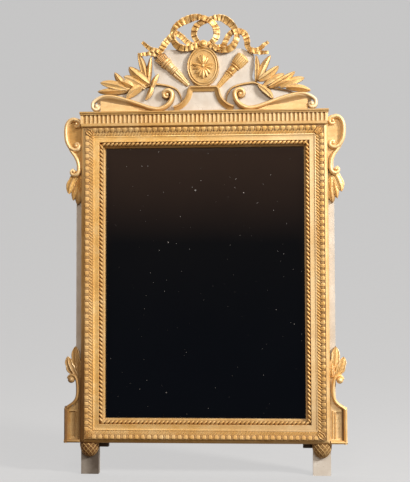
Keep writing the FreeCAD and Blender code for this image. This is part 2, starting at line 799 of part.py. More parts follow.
# Quiver and torch lie crosswise behind the medallion; their lean is in degrees from level.
QUIVER_LEAN = 138.3
TORCH_LEAN = 45
TROPHY_FOOT = f"({CORNICE_TOP} + Dim.trophy_rise)"


def upright(lean):
    """Direction in the upright plane."""
    return Vector(math.cos(math.radians(lean)), 0, math.sin(math.radians(lean)))


quiver_body = "(Dim.quiver_length - Dim.quiver_feathers - Dim.quiver_band)"
quiver_blank = half_turned(
    "quiver_blank",
    [("0", "0"), ("Dim.quiver_length", "0"), ("Dim.quiver_length", "Dim.quiver_mouth + Dim.quiver_lip"),
     (f"{quiver_body} + Dim.quiver_band", "Dim.quiver_mouth - Dim.quiver_lip"),
     (f"{quiver_body} + Dim.quiver_band", "Dim.quiver_mouth + Dim.quiver_lip"),
     (quiver_body, "Dim.quiver_mouth + Dim.quiver_lip"), (quiver_body, "Dim.quiver_mouth"),
     ("0", "Dim.quiver_tip")],
    "-Dim.quiver_reach", PEDIMENT_FACE, TROPHY_FOOT, upright(QUIVER_LEAN))
keep(cut("quiver", quiver_blank, medallion_space, bow_space, tail_spaces["left"]))

torch_cup = "(Dim.torch_handle + Dim.torch_cup)"
torch_end = f"({torch_cup} + Dim.torch_flame)"
torch_blank = half_turned(
    "torch_blank",
    [("0", "0"), (torch_end, "0"), (torch_end, "Dim.torch_flame_radius"),
     (torch_cup, "Dim.torch_flame_root"), (torch_cup, "Dim.torch_cup_radius"),
     ("Dim.torch_handle", "2 * Dim.torch_radius"),
     ("Dim.torch_handle", "Dim.torch_radius"), ("0", "Dim.torch_radius")],
    "Dim.torch_reach", PEDIMENT_FACE, TROPHY_FOOT, upright(TORCH_LEAN))
keep(cut("torch", torch_blank, medallion_space, bow_space, tail_spaces["right"]))

# Curved plinth moulding under the medallion.
def plinth():
    strip = size("plinth_strip")
    radius = size("plinth_curve")
    half = size("plinth_half")
    relief = size("plinth_relief")
    top = size("plinth_height")
    centre = Vector(half - strip / 2 + radius, 0, top - strip / 2)
    start = math.radians(180)
    stop = math.radians(262)
    corners = []
    arcs = []
    for reach in (radius - strip / 2, radius + strip / 2):
        ends = [
            centre + Vector(math.cos(a), 0, math.sin(a)) * reach for a in (start, (start + stop) / 2, stop)]
        arcs.append(Part.Arc(*ends).toShape())
        corners.append((ends[0], ends[-1]))
    inner, outer = corners
    caps = [Part.makeLine(inner[0], outer[0]), Part.makeLine(inner[1], outer[1])]
    wire = Part.Wire(Part.__sortEdges__([arcs[0], caps[1], arcs[1], caps[0]]))
    leg = Part.Face(wire).extrude(FORWARD * relief)
    above = Part.makeBox(2 * radius + half, relief, top, Vector(0, -relief, 0))
    leg = leg.common(above)
    bar = Part.makeBox(2 * half, relief, strip, Vector(-half, -relief, top - strip))
    return joined([bar, leg, leg.mirror(Vector(), RIGHT)])


keep(carving("plinth_moulding", plinth(), **on_pediment))

# Base scrolls to each side of the plinth.
SCROLL_EYES = [(278.5, 16), (94.5, 41.5)]
SCROLL_PATH = [
    *reversed(volute(SCROLL_EYES[0], 5, -265, 10.5, 6)), (284.5, 27), (264, 37.5), (242, 39), (210, 32.5),
    (162.5, 16), (136.5, 7.5), (115, 6), (97.5, 14), (85, 27), *volute(SCROLL_EYES[1], 185, -280, 13, 6),
]
SCROLL_GROUND = [
    (266, 0.5), (270, 20), (264, 36), (242, 38), (210, 32), (195, 27), (162.5, 15.5), (136.5, 7), (118, 4)]


def base_scroll():
    strip = size("scroll_strip")
    relief = size("scroll_relief")
    ground = size("scroll_ground")
    first, last = SCROLL_GROUND[0], SCROLL_GROUND[-1]
    foot = [first, (first[0], 0), (last[0], 0), last]
    foot_lines = polygon(foot)[:3]
    web = raised(Part.__sortEdges__([curve(SCROLL_GROUND).toShape()] + foot_lines), ground)
    eyes = [disc(eye, strip * 0.7, relief) for eye in SCROLL_EYES]
    return joined([band(SCROLL_PATH, strip, relief), web] + eyes)


right_scroll = keep(carving("right_base_scroll", base_scroll(), **on_pediment))
left_scroll = keep(mirrored(right_scroll, "left_base_scroll"))

# Laurel branches: base, tip and width of each leaf.
LAUREL_STEM = [
    (57, 27), (66, 42), (81, 57), (100, 64), (124, 66), (147, 65), (176, 59), (210, 54), (236, 52)]
LAUREL_LEAVES = [
    ((126, 66), (138, 136), 17),
    ((131, 66), (167, 139), 20),
    ((140, 65), (193, 113), 20),
    ((158, 63), (206.5, 93), 15),
    ((172, 60), (233.5, 98), 20),
    ((200, 56), (262, 77), 19),
    ((215, 54), (274, 48), 18),
    ((140, 66), (178, 36), 17),
]


def laurel():
    relief = size("laurel_relief")
    stem = size("laurel_stem")
    leaves = [leaf(*shape, relief) for shape in LAUREL_LEAVES]
    return joined([band(LAUREL_STEM, stem, relief, stem * 0.6)] + leaves)


laurel_blank = carving("laurel_blank", laurel(), **on_pediment)
keep(cut("right_laurel", laurel_blank, right_scroll, tail_spaces["right"]))
keep(cut("left_laurel", mirrored(laurel_blank, "left_laurel_blank"), left_scroll, tail_spaces["left"]))

# Side consoles. Points are measured from the upper outer corner of the frame moulding.
CONSOLE_EYES = [(12.5, 1), (13, -56), (19, -122.5)]
CONSOLE_C = [
    *reversed(volute(CONSOLE_EYES[0], 80, 230, 11, 6)), (22, 13.5), (31.5, 8.5), (38.5, -4), (40, -23.5),
    (37.5, -44), (29.5, -59.5), (21, -65.5), *volute(CONSOLE_EYES[1], -80, -220, 10.5, 6),
]
CONSOLE_S = [
    (34, -55), (26, -69.5), (16, -82.5), (8.5, -97.5), (6, -112), *volute(CONSOLE_EYES[2], 190, 230, 12, 6)]
CONSOLE_FIELD = [
    (0, 12), (10, 12), (20.5, 14), (31.5, 8.5), (38.5, -4), (40, -23.5), (37.5, -44), (29.5, -60),
    (23, -73), (15, -84), (8.5, -98), (5, -112), (0, -116),
]
CONSOLE_LEAF = [
    (4, -130), (13, -139), (20, -149), (29.5, -161), (30, -175), (21.5, -173), (19.5, -184), (18, -196),
    (10.5, -206.5), (4.5, -198), (1.5, -181), (1.5, -155),
]
on_console = {"x": FRAME_HALF, "y": FRONT, "z": "Dim.frame_top"}


def console_strips(depth):
    strip = size("console_strip")
    eyes = [disc(eye, size("console_eye"), depth) for eye in CONSOLE_EYES]
    return [band(CONSOLE_C, strip, depth), band(CONSOLE_S, strip, depth)] + eyes


def console_back(depth):
    edge = Part.makeLine(at(CONSOLE_FIELD[-1]), at(CONSOLE_FIELD[0]))
    field = raised([curve(CONSOLE_FIELD).toShape(), edge], depth)
    return joined([field] + console_strips(depth))


console_board = keep(carving("right_console_board", console_back(size("console_depth")), **on_console))
keep(mirrored(console_board, "left_console_board"))
console_scroll = keep(carving(
    "right_console_scroll", joined(console_strips(size("console_relief"))),
    FRAME_HALF, f"{FRONT} - Dim.console_depth", "Dim.frame_top"))
keep(mirrored(console_scroll, "left_console_scroll"))
console_leaf = carving("console_leaf_blank", blob(CONSOLE_LEAF, size("console_leaf")), **on_console)
console_leaf = keep(cut("right_console_leaf", console_leaf, console_board, right_moulding))
keep(mirrored(console_leaf, "left_console_leaf"))

# Lower brackets. Points are measured from the lower outer corner of the frame moulding.
BRACKET_EYE = (24, 161)
BRACKET_CURVE = [
    (40, 88), (30.5, 94.5), (18, 103), (10, 115), (7.6, 132), (8, 149),
    *volute(BRACKET_EYE, 165, -220, 12.5, 5.5)]
BRACKET_LEAVES = [
    ((7, 166), (15, 245.5), 20),
    ((12, 168), (35, 218), 15),
    ((5, 160), (3.5, 213), 7),
]
on_bracket = {"x": FRAME_HALF, "y": FRONT, "z": FRAME_BOTTOM}


def bracket_edge(depth):
    """Strip down the outside: volute, hollow curve, then the rim of the block."""
    strip = size("bracket_strip")
    width = size("bracket_width")
    low = size("carcass_setback")
    height = size("bracket_height")
    side = Part.makeBox(strip, depth, height, Vector(width - strip, -depth, low))
    foot = Part.makeBox(width, depth, strip, Vector(0, -depth, low))
    eye = disc(BRACKET_EYE, size("bracket_eye"), depth)
    return joined([band(BRACKET_CURVE, strip, depth), side, foot, eye])


def bracket_board():
    depth = size("bracket_depth")
    width = size("bracket_width")
    low = size("carcass_setback")
    height = size("bracket_height")
    margin = size("bracket_panel_margin")
    panel = size("bracket_panel_depth")
    block = Part.makeBox(width, depth, height, Vector(0, -depth, low))
    unit = size("carving_unit")
    foot = [(0, low / unit), (width / unit / 2, (low + height) / unit)]
    field = polygon([*foot, *BRACKET_CURVE[2:7], (0, BRACKET_CURVE[6][1])])
    board = joined([block, raised(field, depth), bracket_edge(depth)])
    recess = Part.makeBox(
        width - 2 * margin, panel, height - 2 * margin, Vector(margin, -depth, low + margin))
    return board.cut(recess)


bracket = keep(carving("right_bracket_board", bracket_board(), **on_bracket))
keep(mirrored(bracket, "left_bracket_board"))
bracket_strip = keep(carving(
    "right_bracket_edge", bracket_edge(size("bracket_relief")),
    FRAME_HALF, f"{FRONT} - Dim.bracket_depth", FRAME_BOTTOM))
keep(mirrored(bracket_strip, "left_bracket_edge"))
sprig = joined([leaf(*shape, size("bracket_leaf")) for shape in BRACKET_LEAVES])
sprig_blank = carving("bracket_leaves_blank", sprig, **on_bracket)
bracket_leaves = keep(cut("right_bracket_leaves", sprig_blank, bracket))
keep(mirrored(bracket_leaves, "left_bracket_leaves"))

# Carved cones on the fronts of the feet, and the blocks glued beside them under the frame.
LEG_CENTRE = f"({LEG_OUTER} - Dim.leg_width / 2)"
cone = keep(half_turned(
    "right_foot_cone",
    [("0", "0"), ("Dim.cone_length", "0"), ("Dim.cone_length", "Dim.cone_tip"), ("0", "Dim.cone_neck")],
    LEG_CENTRE, FRONT, FRAME_BOTTOM, DOWN, {2: ("Dim.cone_curve", 1)}))
keep(mirrored(cone, "left_foot_cone"))
corner_block = keep(box(
    "right_corner_block", "Dim.corner_block_width", "Dim.corner_block_depth", "Dim.corner_block_height",
    f"{LEG_INNER} - Dim.corner_block_width", f"({FRONT} - Dim.corner_block_depth) / 2",
    f"{CARCASS_BOTTOM} - Dim.corner_block_height"))
keep(mirrored(corner_block, "left_corner_block"))

# Hanging hardware on the backs of the stiles: strap plate with a barrel, and a loose ring.
along_x = Rotation(BACKWARD, UP, RIGHT, "ZXY")
out_of_wall = Rotation(RIGHT, -UP, BACKWARD, "ZXY")
strap = box(
    "strap", "Dim.plate_width", "Dim.plate_thickness", "Dim.plate_height",
    f"{STILE_CENTRE} - Dim.plate_width / 2", "0", "-Dim.plate_height")
barrel = cylinder(
    "barrel", f"{BARREL_BORE} + Dim.barrel_wall", "Dim.plate_width",
    f"{STILE_CENTRE} - Dim.plate_width / 2", BARREL_AXIS, "0", along_x)
bore = cylinder(
    "barrel_bore", BARREL_BORE, "Dim.plate_width",
    f"{STILE_CENTRE} - Dim.plate_width / 2", BARREL_AXIS, "0", along_x)
sinks = []
for name in ("upper_screw", "lower_screw"):
    sink = doc.addObject("Part::Cone", name + "_hole")
    sink.setExpression("Radius1", "Dim.screw_radius + Dim.screw_clearance")
    sink.setExpression("Radius2", "Dim.screw_head_radius + Dim.screw_clearance")
    sink.setExpression("Height", "Dim.plate_thickness")
    sinks.append(put(sink, STILE_CENTRE, "0", f"-Dim.{name}", out_of_wall))
plate = keep(cut("right_hanger_plate", fuse("plate_blank", strap, barrel), bore, *sinks))
keep(mirrored(plate, "left_hanger_plate"))


def hanger_ring():
    """Round wire bent to a D, hanging from its straight side."""
    half = size("ring_half")
    corner = size("ring_corner")
    bend = corner * math.sqrt(0.5)
    straight = half - corner
    top_right = Vector(straight, 0, 0)
    top_left = Vector(-straight, 0, 0)
    right = Vector(half, 0, -corner)
    left = Vector(-half, 0, -corner)
    edges = [
        Part.makeLine(top_left, top_right),
        Part.Arc(top_right, Vector(straight + bend, 0, bend - corner), right).toShape(),
        Part.Arc(right, Vector(0, 0, -corner - half), left).toShape(),
        Part.Arc(left, Vector(-straight - bend, 0, bend - corner), top_left).toShape(),
    ]
    section = Part.Wire(Part.Circle(top_left, RIGHT, size("ring_wire")).toShape())
    return Part.Wire(edges).makePipeShell([section], True, False)


ring = keep(carving("right_hanger_ring", hanger_ring(), STILE_CENTRE, BARREL_AXIS, "0"))
keep(mirrored(ring, "left_hanger_ring"))
hanger_screws = [
    fastener(
        size("screw_radius"), size("screw_head_radius"), size("plate_thickness"), size("screw_length"),
        sign * mm(STILE_CENTRE), -size(name), 0)
    for sign in (-1, 1) for name in ("upper_screw", "lower_screw")]
keep(carving("hanger_screws", Part.makeCompound(hanger_screws), y="Dim.plate_thickness"))

doc.recompute()
for item in doc.Objects:
    if "Invalid" in item.State or "Error" in item.State:
        raise ValueError(f"{item.Label} did not build: {item.State}")

os.makedirs("parts", exist_ok=True)
for piece in parts:
    if piece.Shape.isNull() or not piece.Shape.isValid():
        raise ValueError(f"{piece.Label} has no valid shape")
    piece.Shape.exportStep(f"parts/{piece.Label}.step")
    print(piece.Label, len(piece.Shape.Solids), round(piece.Shape.Volume, 1))
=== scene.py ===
import math

import bmesh
import bpy
from mathutils import Matrix, Vector


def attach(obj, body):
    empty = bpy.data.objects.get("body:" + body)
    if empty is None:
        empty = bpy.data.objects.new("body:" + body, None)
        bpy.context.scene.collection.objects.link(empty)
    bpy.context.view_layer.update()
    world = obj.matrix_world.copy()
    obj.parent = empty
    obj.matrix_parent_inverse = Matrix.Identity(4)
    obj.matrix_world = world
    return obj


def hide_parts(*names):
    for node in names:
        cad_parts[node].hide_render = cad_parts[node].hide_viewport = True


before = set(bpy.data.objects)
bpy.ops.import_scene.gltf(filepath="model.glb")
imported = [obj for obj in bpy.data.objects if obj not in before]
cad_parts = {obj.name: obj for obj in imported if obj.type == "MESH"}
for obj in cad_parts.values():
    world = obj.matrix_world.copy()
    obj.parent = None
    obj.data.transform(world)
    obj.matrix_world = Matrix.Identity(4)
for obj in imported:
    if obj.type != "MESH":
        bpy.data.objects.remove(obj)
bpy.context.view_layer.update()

# Sizes in millimetres, in the frame of the CAD part: front towards -Y, +Z up. Carving is drawn as
# (x, z) points and a lift, which is the height above its ground towards the front.
MM = 0.001
FRAME_HALF = 318.5
FRAME_TOP = 30.0
FRAME_BOTTOM = -790.0
CARCASS_FACE = -25.0
SIDE_BOARD_FACE = -40.0
PEDIMENT_FACE = -38.0
CORNICE_TOP = 60.0
SEED = 7
SIDES = (("left", -1), ("right", 1))


# Node helpers.
def laid_as(operation):
    """Method that lays one maths node."""
    return lambda wire, *others: wire.graph.maths(operation, wire, *others)


class Wire:
    """Value in a node tree. Arithmetic on it lays maths nodes."""

    __add__, __sub__, __mul__, __truediv__ = map(laid_as, ("ADD", "SUBTRACT", "MULTIPLY", "DIVIDE"))
    __abs__, least, below = map(laid_as, ("ABSOLUTE", "MINIMUM", "LESS_THAN"))

    def __init__(self, graph, socket):
        self.graph = graph
        self.socket = socket

    def __rsub__(self, other):
        return self.graph.maths("SUBTRACT", other, self)

    def most(self, *others):
        """Greatest of several values."""
        value = self
        for other in others:
            value = self.graph.maths("MAXIMUM", value, other)
        return value

    def clamped(self):
        """Keeps a value that was just worked out between 0 and 1."""
        self.socket.node.use_clamp = True
        return self

    def step(self, low, high, start=0.0, end=1.0):
        """Smooth step from one value to another."""
        return self.graph.lay("ShaderNodeMapRange", {
            "Value": self, "From Min": low, "From Max": high, "To Min": start, "To Max": end},
            interpolation_type="SMOOTHSTEP")


class Graph:
    """Lays nodes into a tree."""

    def __init__(self, tree):
        self.tree = tree

    def add(self, kind, sockets=None, **settings):
        node = self.tree.nodes.new(kind)
        for name, value in settings.items():
            setattr(node, name, value)
        for name, value in (sockets or {}).items():
            self.feed(node.inputs[name], value)
        return node

    def feed(self, socket, value):
        if isinstance(value, Wire):
            self.tree.links.new(value.socket, socket)
        else:
            socket.default_value = value

    def wires(self, sockets):
        return {socket.name: Wire(self, socket) for socket in sockets}

    def lay(self, kind, sockets=None, output=0, **settings):
        """Node of which one output is used."""
        return Wire(self, self.add(kind, sockets, **settings).outputs[output])

    def use(self, group, **sockets):
        """Shared effect, placed with its own values; its outputs by name."""
        return self.wires(self.add("ShaderNodeGroup", sockets, node_tree=group).outputs)

    def maths(self, operation, *values):
        return self.lay("ShaderNodeMath", dict(enumerate(values)), operation=operation)

    def mix(self, share, first, second, blend="MIX"):
        first, second = (c if isinstance(c, Wire) else (*c, 1.0) for c in (first, second))
        return self.lay("ShaderNodeMix", {0: share, 6: first, 7: second}, 2, data_type="RGBA", blend_type=blend)

    def stain(self, colour, *layers):
        """Colour under layers of (share, tint)."""
        for share, tint in layers:
            colour = self.mix(share, colour, tint)
        return colour

    def ramp(self, value, stops):
        node = self.add("ShaderNodeValToRGB", {"Fac": value})
        marks = node.color_ramp.elements
        for number, (place, colour) in enumerate(stops):
            mark = marks[number] if number < 2 else marks.new(place)
            mark.position = place
            mark.color = (*colour, 1.0)
        return Wire(self, node.outputs[0])

    def noise(self, vector, scale, detail=4.0, roughness=0.6):
        return self.lay("ShaderNodeTexNoise", {
            "Vector": vector, "Scale": scale, "Detail": detail, "Roughness": roughness})

    def mapped(self, vector, scale=(1, 1, 1), place=(0, 0, 0), turn=(0, 0, 0)):
        return self.lay("ShaderNodeMapping", {
            "Vector": vector, "Scale": scale, "Location": place, "Rotation": turn})

    def axes(self, vector):
        return [Wire(self, axis) for axis in self.add("ShaderNodeSeparateXYZ", {0: vector}).outputs]

    def joined_axes(self, **axes):
        return self.lay("ShaderNodeCombineXYZ", axes)

    def bump(self, height, strength, distance):
        return self.lay("ShaderNodeBump", {"Height": height, "Strength": strength, "Distance": distance})


def new_group(kind, body, inputs):
    """Node group named after the function that lays its nodes and hands back its outputs by name."""
    tree = bpy.data.node_groups.new(body.__name__, kind)
    for label, (socket, default) in inputs.items():
        made = tree.interface.new_socket(label, in_out="INPUT", socket_type="NodeSocket" + socket)
        if default is not None:
            made.default_value = default
    graph = Graph(tree)
    outputs = body(graph, graph.wires(graph.add("NodeGroupInput").outputs))
    carried = "NodeSocketFloat" if kind == "ShaderNodeTree" else "NodeSocketGeometry"
    for label in outputs:
        tree.interface.new_socket(label, in_out="OUTPUT", socket_type=carried)
    graph.add("NodeGroupOutput", outputs)
    return tree


# Effects that several finishes share.
GOLD_LEAF_SIZE = 0.083
GROUND_LINE_PITCH = 3.2
# Where painted shadow, painted shade and the wear with its painted light begin and where they are full, in metres:
# x across the frame, z up it.
LOW_SHADOW_Z, LOW_SHADOW_X = (-0.42, -0.62), (-0.312, -0.326)
RIM_SHADOW_Z, RIM_SHADOW_X = (-0.66, -0.7), (-0.350, -0.3525)
SHADED_X, SHADED_Z = (0.1, -0.27), (-0.6, -0.74)
RIGHT_LIGHT_X = (-0.12, 0.34)


def leaf_tone(graph, given):
    """Uneven colour of laid gold leaf: cloudy tone, lap lines of the leaves and a soft surface."""
    coords = given["Vector"]
    cloud = graph.noise(coords, 22.0, 5.0)
    mottle = graph.noise(coords, 160.0, 3.0, 0.65)
    laps = graph.lay("ShaderNodeTexBrick", {
        "Vector": graph.mapped(coords, turn=(math.pi / 2, 0, 0.05)), "Scale": 1.0,
        "Color1": (0.45, 0.45, 0.45, 1), "Color2": (0.6, 0.6, 0.6, 1), "Mortar": (0.75, 0.75, 0.75, 1),
        "Mortar Size": 0.0006, "Mortar Smooth": 0.4, "Brick Width": GOLD_LEAF_SIZE,
        "Row Height": GOLD_LEAF_SIZE})
    tone = cloud * 0.7 + mottle * 0.3 + (laps - 0.5) * given["Lap"]
    return {"Tone": tone.clamped(), "Height": mottle * 0.6 + graph.noise(coords, 900.0, 2.0)}


def carving_shade(graph, given):
    """Hollows and high edges of carved work, from the mesh's pointiness, where toning and rubbing go; gilding also
    paints shade in the hollows and a highlight on the edges.
    """
    shape = graph.lay("ShaderNodeNewGeometry", output="Pointiness")
    patchy = graph.noise(given["Vector"], 70.0)
    hollow = shape.step(0.498, 0.45) * patchy.step(0.15, 0.7, 0.65, 1.0)
    edge = shape.step(0.515, 0.60) * patchy.step(0.3, 0.6)
    return {"Hollow": (hollow * given["Hollow"]).clamped(), "Edge": (edge * given["Rub"]).clamped()}


def old_grime(graph, given):
    """Smoky patches that settle on old surfaces."""
    broad = graph.noise(given["Vector"], given["Scale"], 6.0, 0.62)
    return {"Mask": (broad.step(0.45, 0.78) * given["Amount"]).clamped()}


def wood_grain(graph, given):
    """Long grain along the third axis of the vector."""
    drawn = graph.lay("ShaderNodeVectorMath", {
        0: given["Vector"], "Scale": given["Fineness"]}, operation="SCALE")
    rings = graph.lay("ShaderNodeTexWave", {
        "Vector": graph.mapped(drawn, (1.0, 1.0, 0.06)), "Scale": 9.0, "Distortion": 9.0,
        "Detail": 4.0, "Detail Scale": 1.2}, "Fac", bands_direction="X")
    fibre = graph.noise(graph.mapped(drawn, (420.0, 420.0, 9.0)), 1.0, 3.0)
    streak = graph.noise(graph.mapped(drawn, (70.0, 70.0, 1.6)), 1.0)
    return {"Grain": rings * 0.2 + fibre * 0.4 + streak * 0.4, "Height": fibre}


def fine_specks(graph, given):
    """Scattered round specks of uneven size."""
    cells = graph.wires(graph.add("ShaderNodeTexVoronoi", {
        "Vector": given["Vector"], "Scale": given["Scale"]}).outputs)
    chance, size, _ = graph.axes(cells["Color"])
    spot = (cells["Distance"] - given["Reach"] * size).step(0.03, -0.03)
    return {"Mask": spot * chance.below(given["Share"])}


def frame_inset(graph, given):
    """Distance in millimetres inwards from the outer edge of the frame moulding."""
    x, _, z = graph.axes(given["Vector"])
    nearest = (FRAME_HALF * MM - abs(x)).least((FRAME_TOP * MM - z).least(z - FRAME_BOTTOM * MM))
    return {"Inset": nearest * 1000.0}


def bare_bole(graph, given):
    """Spots where the gold leaf is rubbed through."""
    return {"Mask": graph.noise(given["Vector"], 48.0, 6.0, 0.7).step(0.66, 0.74, 0.0, 0.5)}


def low_left_shadow(graph, given):
    """Painted shadow low on the left side and on its outer rim, where the frame moulding keeps the light off."""
    x, _, z = graph.axes(given["Vector"])
    painted_shadow = z.step(*LOW_SHADOW_Z, 0.0, given["Amount"]) * x.step(*LOW_SHADOW_X)
    return {"Mask": painted_shadow.most(z.step(*RIM_SHADOW_Z, 0.0, 0.97) * x.step(*RIM_SHADOW_X))}


def side_shade(graph, given):
    """Painted shade, darker towards the left side and towards the foot, away from the light."""
    x, _, z = graph.axes(given["Vector"])
    return {"Mask": x.step(*SHADED_X, 0.0, given["Left"]).most(z.step(*SHADED_Z, 0.0, given["Foot"]))}


def wear_and_right_light(graph, given):
    """Patchy rubbing together with painted light, stronger towards the right side where the light falls."""
    x, _, _ = graph.axes(given["Vector"])
    patchy = graph.noise(given["Vector"], 14.0).step(0.2, 0.6, 0.6, 1.0)
    return {"Mask": x.step(*RIGHT_LIGHT_X, 0.0, given["Amount"]) * patchy}


def depth_shade(graph, given):
    """Painted shade that deepens from an upper to a lower depth, towards the ground of a relief."""
    _, y, _ = graph.axes(given["Vector"])
    return {"Mask": y.step(given["Upper"], given["Lower"], 0.0, given["Amount"])}


def mottled_toning(graph, given):
    """Toning in small clouds."""
    return {"Mask": graph.noise(given["Vector"], 75.0, 3.0, 0.55).step(0.5, 0.68, 0.0, given["Amount"])}


def ground_lines(graph, given):
    """Level lines cut in a ground, with painted shade in the cuts."""
    lines = graph.lay("ShaderNodeTexWave", {
        "Vector": given["Vector"], "Scale": 1.0 / (GROUND_LINE_PITCH * MM) / math.pi, "Distortion": 0.6,
        "Detail": 1.0}, "Fac", bands_direction="Z")
    return {"Height": lines, "Mask": lines.step(0.5, 0.1, 0.0, 0.3)}


def shared_effect(body, **amounts):
    return new_group("ShaderNodeTree", body, {
        "Vector": ("Vector", None), **{label: ("Float", amount) for label, amount in amounts.items()}})


LEAF_TONE = shared_effect(leaf_tone, Lap=0.3)
CARVING_SHADE = shared_effect(carving_shade, Hollow=1.0, Rub=1.0)
OLD_GRIME = shared_effect(old_grime, Scale=9.0, Amount=0.5)
WOOD_GRAIN = shared_effect(wood_grain, Fineness=1.0)
FINE_SPECKS = shared_effect(fine_specks, Scale=90.0, Reach=0.16, Share=0.3)
FRAME_INSET = shared_effect(frame_inset)
BARE_BOLE = shared_effect(bare_bole)
LOW_LEFT_SHADOW = shared_effect(low_left_shadow, Amount=0.5)
SIDE_SHADE = shared_effect(side_shade, Left=0.4, Foot=0.0)
WEAR_AND_RIGHT_LIGHT = shared_effect(wear_and_right_light, Amount=0.15)
DEPTH_SHADE = shared_effect(depth_shade, Upper=-0.05, Lower=-0.04, Amount=0.7)
MOTTLED_TONING = shared_effect(mottled_toning, Amount=0.5)
GROUND_LINES = shared_effect(ground_lines)


# Finishes.
def new_finish(name):
    """Material with its graph and its object coordinates."""
    material = bpy.data.materials.new(name)
    material.use_nodes = True
    material.node_tree.nodes.clear()
    graph = Graph(material.node_tree)
    return material, graph, graph.lay("ShaderNodeTexCoord", output="Object")


def surfaced(material, graph, sockets):
    """Closes a material with its surface shader."""
    surface = graph.lay("ShaderNodeBsdfPrincipled", sockets)
    graph.add("ShaderNodeOutputMaterial", {"Surface": surface})
    return material


def mask(graph, effect, coords, **amounts):
    """Mask of a shared effect."""
    return graph.use(effect, Vector=coords, **amounts)["Mask"]


GOLD_DEEP = (0.62, 0.3364, 0.09)
GOLD = (0.83, 0.507, 0.162)
GOLD_PALE = (0.97, 0.741, 0.378)
# Pale gold of rubbed leaf, also used for painted highlights.
RUBBED_AND_LIT = (0.95, 0.8175, 0.564)
BOLE = (0.38, 0.15, 0.06)
# Dark toning, also used for painted shade.
TONING_AND_SHADE = (0.15, 0.0626, 0.0152)

# Painted shade and painted highlight on each step of the frame moulding, partly toning in its hollows: inset in
# millimetres, darkening and paleness.
MOULDING_SPAN = 64.0
MOULDING_TONES = [
    (0.0, 0.26, 0.0), (9.6, 0.2, 0.0), (10.2, 0.55, 0.0), (12.4, 0.7, 0.0), (13.5, 0.85, 0.0),
    (23.0, 0.8, 0.0), (26.0, 0.5, 0.0), (31.8, 0.3, 0.0), (32.2, 0.0, 0.75), (34.8, 0.0, 0.7),
    (35.6, 0.15, 0.1), (38.0, 0.0, 0.2), (45.0, 0.0, 0.3), (47.6, 0.3, 0.1), (48.4, 0.8, 0.0),
    (57.0, 0.8, 0.0), (57.8, 0.5, 0.1), (59.5, 0.35, 0.1), (61.0, 0.3, 0.2),
]
# The same across a bracket's sunk panel, out from the frame: painted shadow by the frame and inside the rim,
# painted highlight on the panel and the rim.
PANEL_SPAN = 48.0
PANEL_TONES = [
    (0.0, 0.7, 0.0), (1.5, 0.3, 0.0), (4.0, 0.0, 0.5), (26.0, 0.0, 0.45), (28.5, 0.3, 0.0),
    (30.0, 0.9, 0.0), (33.0, 0.95, 0.0), (34.5, 0.0, 0.6), (44.0, 0.0, 0.8),
]
PANEL_SHADOW_REACH = (10.0, 6.5)
FLUTE_FACE = -57.8
FLUTE_DEPTH = 2.6
FRIEZE_BACK = 3.7
FRIEZE_END = 4.0
OUTER_ROUND = 10.0
# Cones on the feet: axis, length, and lattice lines along and round them.
CONE_CENTRE = 297.5
CONE_LENGTH = 37.5
LATTICE_PITCH = 14.0
LATTICE_COUNT = 6.0
# Where the left outer round takes painted light high up and painted shade lower down, and where the scrolls' ends
# are worn, in metres.
ROUND_LIT_Z, ROUND_SHADED_Z = (-0.22, -0.04), (-0.25, -0.65)
SCROLL_ENDS_X = (0.235, 0.285)


def tones_across(graph, share, tones, span):
    """Darkening and paleness from a table, at a share of its span, painted as shade and highlight."""
    line = graph.ramp(share, [(at / span, (shade_darkening, pale, 0.0)) for at, shade_darkening, pale in tones])
    return graph.axes(line)[:2]


def lattice_lines(graph, x, y, z):
    """Lines of the lattice cut on a foot's cone, where its ridges run."""
    angle = graph.maths("ARCTAN2", abs(x) - CONE_CENTRE * MM, CARCASS_FACE * MM - y)
    along = (FRAME_BOTTOM * MM - z) * (math.pi / (LATTICE_PITCH * MM))
    turned = angle * LATTICE_COUNT
    first, second = (abs(graph.maths("SINE", way)).step(0.3, 0.08) for way in (along + turned, along - turned))
    return first.most(second)


